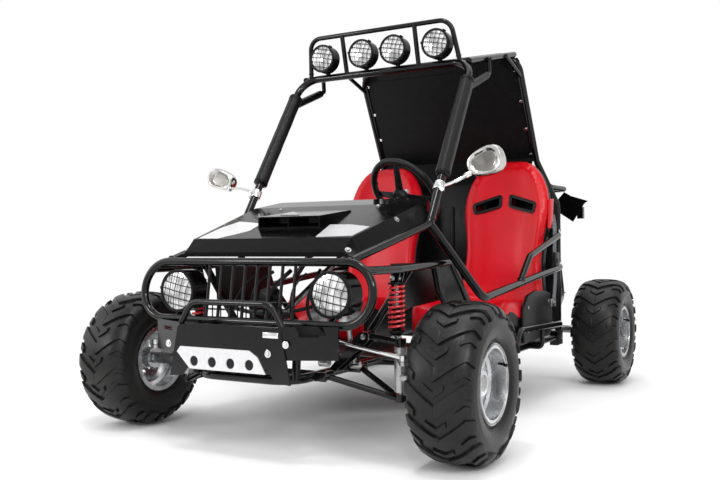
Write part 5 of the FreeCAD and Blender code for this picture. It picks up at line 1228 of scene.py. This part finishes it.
def buildSheetHem():  # the back sheet's edge wraps to the hoop, with fixing bolts, and a tie over the header
    bm = startShape()
    rear, knee = at(*sheet["rear"]), at(*sheet["knee"])
    normal = alongX.cross(knee - rear).normalized()
    thick, gap = normal * sheet["thick"], normal * sheet["gap"]

    def onSheet(share, x):
        spot = rear + (knee - rear) * share
        return Vector((x(spot.x), spot.y, spot.z))

    for side in (1, -1):
        addPlate(bm, [onSheet(share, lambda x: side * (x - across / 1000)) + gap
                      for share, across in sheet["hem"]], thick)
    addPlate(bm, [onSheet(share, lambda x: half) + gap for share, half in sheet["tie"]], thick)
    paintNew(bm, 0)
    face = (-normal if normal.y > 0 else normal) * 0.0045
    for side in (1, -1):
        for share in sheet["bolts"]:
            spot = onSheet(share, lambda x: side * (x - 0.016))
            addRod(bm, spot, spot + face, 0.0075, 18, 0.006, 0.0008)
            addRod(bm, spot, spot - face, 0.0075, 18, 0.006, 0.0008)
    finishPiece("sheetHem", bm, "satinBlack chromed")


helm = dict(
    centre=(145, 465, 712), axis=(0.221541, 0.786852, 0.576006), ring=0.120, thick=0.0108, stitches=10,
    spokes=(0.12, math.pi - 0.12, math.pi * 1.5), spokeHalf=0.012,
    hub=[(-0.012, 0), (-0.012, 0.024), (0, 0.03), (0.006, 0.03), (0.012, 0.024), (0.015, 0)],
)


def buildSteeringWheel():
    centre, axis = at(*helm["centre"]), Vector(helm["axis"]).normalized()
    bm = startShape()
    addRing(bm, centre, axis, helm["ring"], helm["thick"], 72, 14)
    for k in range(helm["stitches"]):
        way = Matrix.Rotation(math.tau * k / helm["stitches"], 3, axis) @ axis.orthogonal().normalized()
        addBlock(bm, centre + way * 0.1095, (0.004, 0.018, 0.004), 0.001, lookAlong(axis))
    paintNew(bm, 0)
    level = axis.cross(alongX).normalized()
    flat = level.cross(axis).normalized()
    for turn in helm["spokes"]:
        way = flat * math.cos(turn) + level * math.sin(turn)
        foot, tip = centre - axis * 0.022 + way * 0.02, centre + way * 0.112
        across = axis.cross(way).normalized() * helm["spokeHalf"]
        corners = [foot - across * 1.3, foot + across * 1.3, tip + across * 0.8, tip - across * 0.8]
        addPlate(bm, corners, axis * 0.0035, rounding=0.0008)
    addLathe(bm, centre - axis * 0.024, axis, helm["hub"])
    paintNew(bm, 1)
    for k in range(3):
        way = flat * math.cos(math.tau * k / 3) + level * math.sin(math.tau * k / 3)
        addNut(bm, centre - axis * 0.012 + way * 0.016, axis, 0.008, 0.004)
    finishPiece("steeringGrip", bm, "foamBlack satinBlack zinc", "steering_wheel", "steering")


def buildPedals():
    bm = startShape()
    tilt = Matrix.Rotation(-0.5, 4, "X")
    for x in (90, 190):
        addPipe(bm, [at(x, 60, 215), at(x, 20, 300), at(x, 30, 352)], 0.007)
        addBlock(bm, at(x, 36, 360), (0.06, 0.008, 0.07), 0.002, tilt)
        for k in range(5):
            addBlock(bm, at(x, 42, 338 + k * 11), (0.052, 0.003, 0.003), 0.0, tilt)
        addRod(bm, at(x - 16, 60, 215), at(x + 16, 60, 215), 0.011, 20, rounding=0.001)
    finishPiece("pedals", bm, "zinc")


def buildRodBoots():  # the folded boots at the tie rods' inner ends
    for hand, side in hands:
        low, high = (Vector(corner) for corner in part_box("tie_rod_" + hand))
        inner = (low + high) / 2
        inner.x = low.x if side > 0 else high.x
        bm = startShape()
        for k in range(7):
            spot = inner + alongX * side * (0.03 + 0.009 * k)
            addRod(bm, spot, spot + alongX * side * 0.005, 0.0125 - 0.0006 * k, 20, rounding=0.002)
        finishPiece("rodBoot_" + hand, bm, "foamBlack", body="tie_rod_" + hand)


beads = [  # where a tube ends on another, where it runs to, its radius and how far out the bead lies
    ((335, 240, 606), (328, 595, 1143), 12.6, 14), ((360, 1500, 330), (385, 1500, 772), 11.1, 14),
    ((368, 1288, 772), (385, 1500, 772), 11.1, 15), ((446, 703, 419), (446, 808, 505), 11.1, 15),
    ((394, 1320, 470), (446, 1165, 459), 11.1, 15), ((394, 1320, 600), (446, 1150, 578), 11.1, 15),
    ((292, -155, 503), (335, 240, 606), 11.1, 15), ((287, 588, 1149), (268, 555, 1277), 8.1, 14),
]


def buildBeads():
    bm = startShape()
    for start, end, radius, out in beads:
        for side in (1, -1):
            first, last = at(start[0] * side, *start[1:]), at(end[0] * side, *end[1:])
            way = (last - first).normalized()
            before = set(bm.verts)
            addRing(bm, first + way * out / 1000, way, radius / 1000 + 0.0006, 0.0017, 26, 6)
            for vert in newVerts(bm, before):
                vert.co += way * 0.0006 * math.sin(vert.co.x * 2100 + vert.co.z * 1900)
    finishPiece("weldBeads", bm, "frameBlack")


tread = dict(rows=14, columns=18, left=-306, front=262, across=36, along=26, size=(0.017, 0.0045, 0.0014))


def buildSmallFittings():  # tail lenses, pivot nuts at the upper links, tread of the floor pan
    bm = startShape()
    for side in (1, -1):
        addBlock(bm, at(436.8 * side, 1526, 674), (0.021, 0.006, 0.044), 0.002)
    paintNew(bm, 0)
    for side in (1, -1):
        spot = at(262 * side, -13, 304)
        addRod(bm, spot, spot - alongY * 0.006, 0.0125, 24, rounding=0.001)
        addNut(bm, spot - alongY * 0.006, -alongY, 0.014, 0.008)
    paintNew(bm, 1)
    pan = skinOf("floor_pan")
    for row in range(tread["rows"]):
        for column in range(tread["columns"]):
            x = tread["left"] + (column + (row % 2) / 2) * tread["across"]
            hit = pan.ray_cast(at(x, tread["front"] + row * tread["along"], 300), -alongZ)[0]
            if hit:
                turn = Matrix.Rotation(math.radians(45 if (row + column) % 2 else -45), 4, "Z")
                addBlock(bm, hit + alongZ * 0.0004, tread["size"], 0.0006, turn, 1)
    finishPiece("smallFittings", bm, "tailRed zinc satinBlack")


panels = dict(
    x=300, outline=[(60, 495), (331, 494), (388, 377), (69, 364)],
    # the slot's corners (x, z) and the height at which the wing is sought
    slot=[(200, 320, 318), (264, 320, 318), (264, 350, 352), (200, 350, 352)],
)


def buildInnerPanels():  # dark sheets inside the footwell, and a backing behind the slot of the left wing
    bm = startShape()
    outline = panels["outline"]
    middleY, middleZ = (sum(corner[k] for corner in outline) / len(outline) for k in (0, 1))
    for side in (1, -1):
        out = alongX * side
        addPlate(bm, [at(panels["x"] * side, y, z) for y, z in outline], out * 0.002, rounding=0.0005)
        for y, z in outline:
            spot = at((panels["x"] + 2) * side, y + (middleY - y) * 0.14, z + (middleZ - z) * 0.14)
            addRod(bm, spot, spot + out * 0.003, 0.006, 14, rounding=0.0006)
    wing = skinOf("bumper")
    corners = []
    for x, z, sought in panels["slot"]:
        hit = wing.ray_cast(at(x, -400, sought), alongY)[0]
        corners.append(Vector((x / 1000, hit.y + 0.008 if hit else at(0, -250, 0).y, z / 1000)))
    addPlate(bm, corners, (0, 0.0015, 0))
    finishPiece("innerPanels", bm, "satinBlack")


for build in (buildEngine, buildDrive, buildMufflerBands, buildSheetHem, buildSteeringWheel, buildPedals,
              buildRodBoots, buildBeads, buildSmallFittings, buildInnerPanels):
    build()
print("engine, drive and fittings made")

stage = dict(floorSize=60.0, floorColour=(0.93, 0.93, 0.93, 1), fadeNear=1.6, fadeFar=3.2, worldStrength=0.75)
lamps = [
    dict(name="keyLight", place=(2.4, -3.2, 3.4), aim=(0, -0.1, 0.5), size=2.6, power=58),
    dict(name="fillLight", place=(-3.4, -2.6, 2.2), aim=(0, -0.2, 0.5), size=3.2, power=38),
    dict(name="topLight", place=(0.2, 0.6, 4.2), aim=(0, 0, 0.4), size=3.5, power=60),
    dict(name="glintHigh", place=(3.2, -2.2, 2.4), aim=(0, 0, 0.5), size=0.6, power=34),
    dict(name="glintLow", place=(-2.2, -3.6, 1.7), aim=(0, 0, 0.4), size=0.5, power=22),
    dict(name="glintTop", place=(0.4, -1.6, 3.4), aim=(0, -0.3, 0.6), size=0.5, power=24),
]
photoCamera = dict(place=(1.3333, -2.6033, 0.5433), heading=29.453, pitch=0.409, roll=-0.383, lens=41.6)


def seenStraight(tree):  # 1 for what the camera sees, also mirrored or through glass, otherwise 0
    path = addNode(tree, "LightPath")
    first, second, third = (path.outputs["Is %s Ray" % kind] for kind in ("Camera", "Glossy", "Transmission"))
    return mathNode(tree, "MAXIMUM", mathNode(tree, "MAXIMUM", first, second), third)


def buildFloor():
    bm = bmesh.new()
    bmesh.ops.create_grid(bm, x_segments=1, y_segments=1, size=stage["floorSize"] / 2)
    mesh = bpy.data.meshes.new("studioFloor")
    bm.to_mesh(mesh)
    bm.free()
    linkObject("studioFloor", mesh)
    material, tree, shader, where = startMaterial("studioFloor")
    shader.inputs["Base Color"].default_value = stage["floorColour"]
    shader.inputs["Roughness"].default_value = 0.7
    shader.inputs["Specular IOR Level"].default_value = 0.15
    away = addNode(tree, "VectorMath", {0: where}, operation="LENGTH").outputs["Value"]
    fade = ramp(tree, away, 0.0, 1.0, stage["fadeNear"], stage["fadeFar"], interpolation_type="SMOOTHSTEP")
    white = addNode(tree, "Emission", {"Color": (1, 1, 1, 1), "Strength": 1.0})
    sockets = {0: times(tree, fade, seenStraight(tree)), 1: shader.outputs[0], 2: white.outputs[0]}
    out = [n for n in tree.nodes if n.type == "OUTPUT_MATERIAL"][0]
    tree.links.new(addNode(tree, "MixShader", sockets).outputs[0], out.inputs[0])
    mesh.materials.append(material)


def buildWorld():
    world = bpy.data.worlds.new("studioWorld")
    bpy.context.scene.world = world
    world.use_nodes = True
    tree = world.node_tree
    tree.nodes.clear()
    soft, white = (addNode(tree, "Background", {0: (1, 1, 1, 1), 1: strength}).outputs[0]
                   for strength in (stage["worldStrength"], 1.0))
    mixed = addNode(tree, "MixShader", {0: seenStraight(tree), 1: soft, 2: white})
    addNode(tree, "OutputWorld", {0: mixed.outputs[0]})


def buildLights():
    for lamp in lamps:
        data = bpy.data.lights.new(lamp["name"], "AREA")
        setAll(data, shape="SQUARE", size=lamp["size"], energy=lamp["power"])
        light = linkObject(lamp["name"], data)
        light.location = lamp["place"]
        aim = Vector(lamp["aim"]) - Vector(lamp["place"])
        light.rotation_euler = aim.to_track_quat("-Z", "Y").to_euler()


def buildCamera():
    data = setAll(bpy.data.cameras.new("photoCamera"), lens=photoCamera["lens"], sensor_width=36)
    camera = linkObject("photoCamera", data)
    camera.matrix_world = Matrix.Translation(photoCamera["place"])
    for key, level, axis in (("heading", 0, "Z"), ("pitch", 90, "X"), ("roll", 0, "Z")):
        turn = Matrix.Rotation(math.radians(level + photoCamera[key]), 4, axis)
        camera.matrix_world = camera.matrix_world @ turn
    bpy.context.scene.camera = camera


buildFloor()
buildWorld()
buildLights()
buildCamera()
bpy.context.scene.view_settings.view_transform = "Standard"
print("stage made")
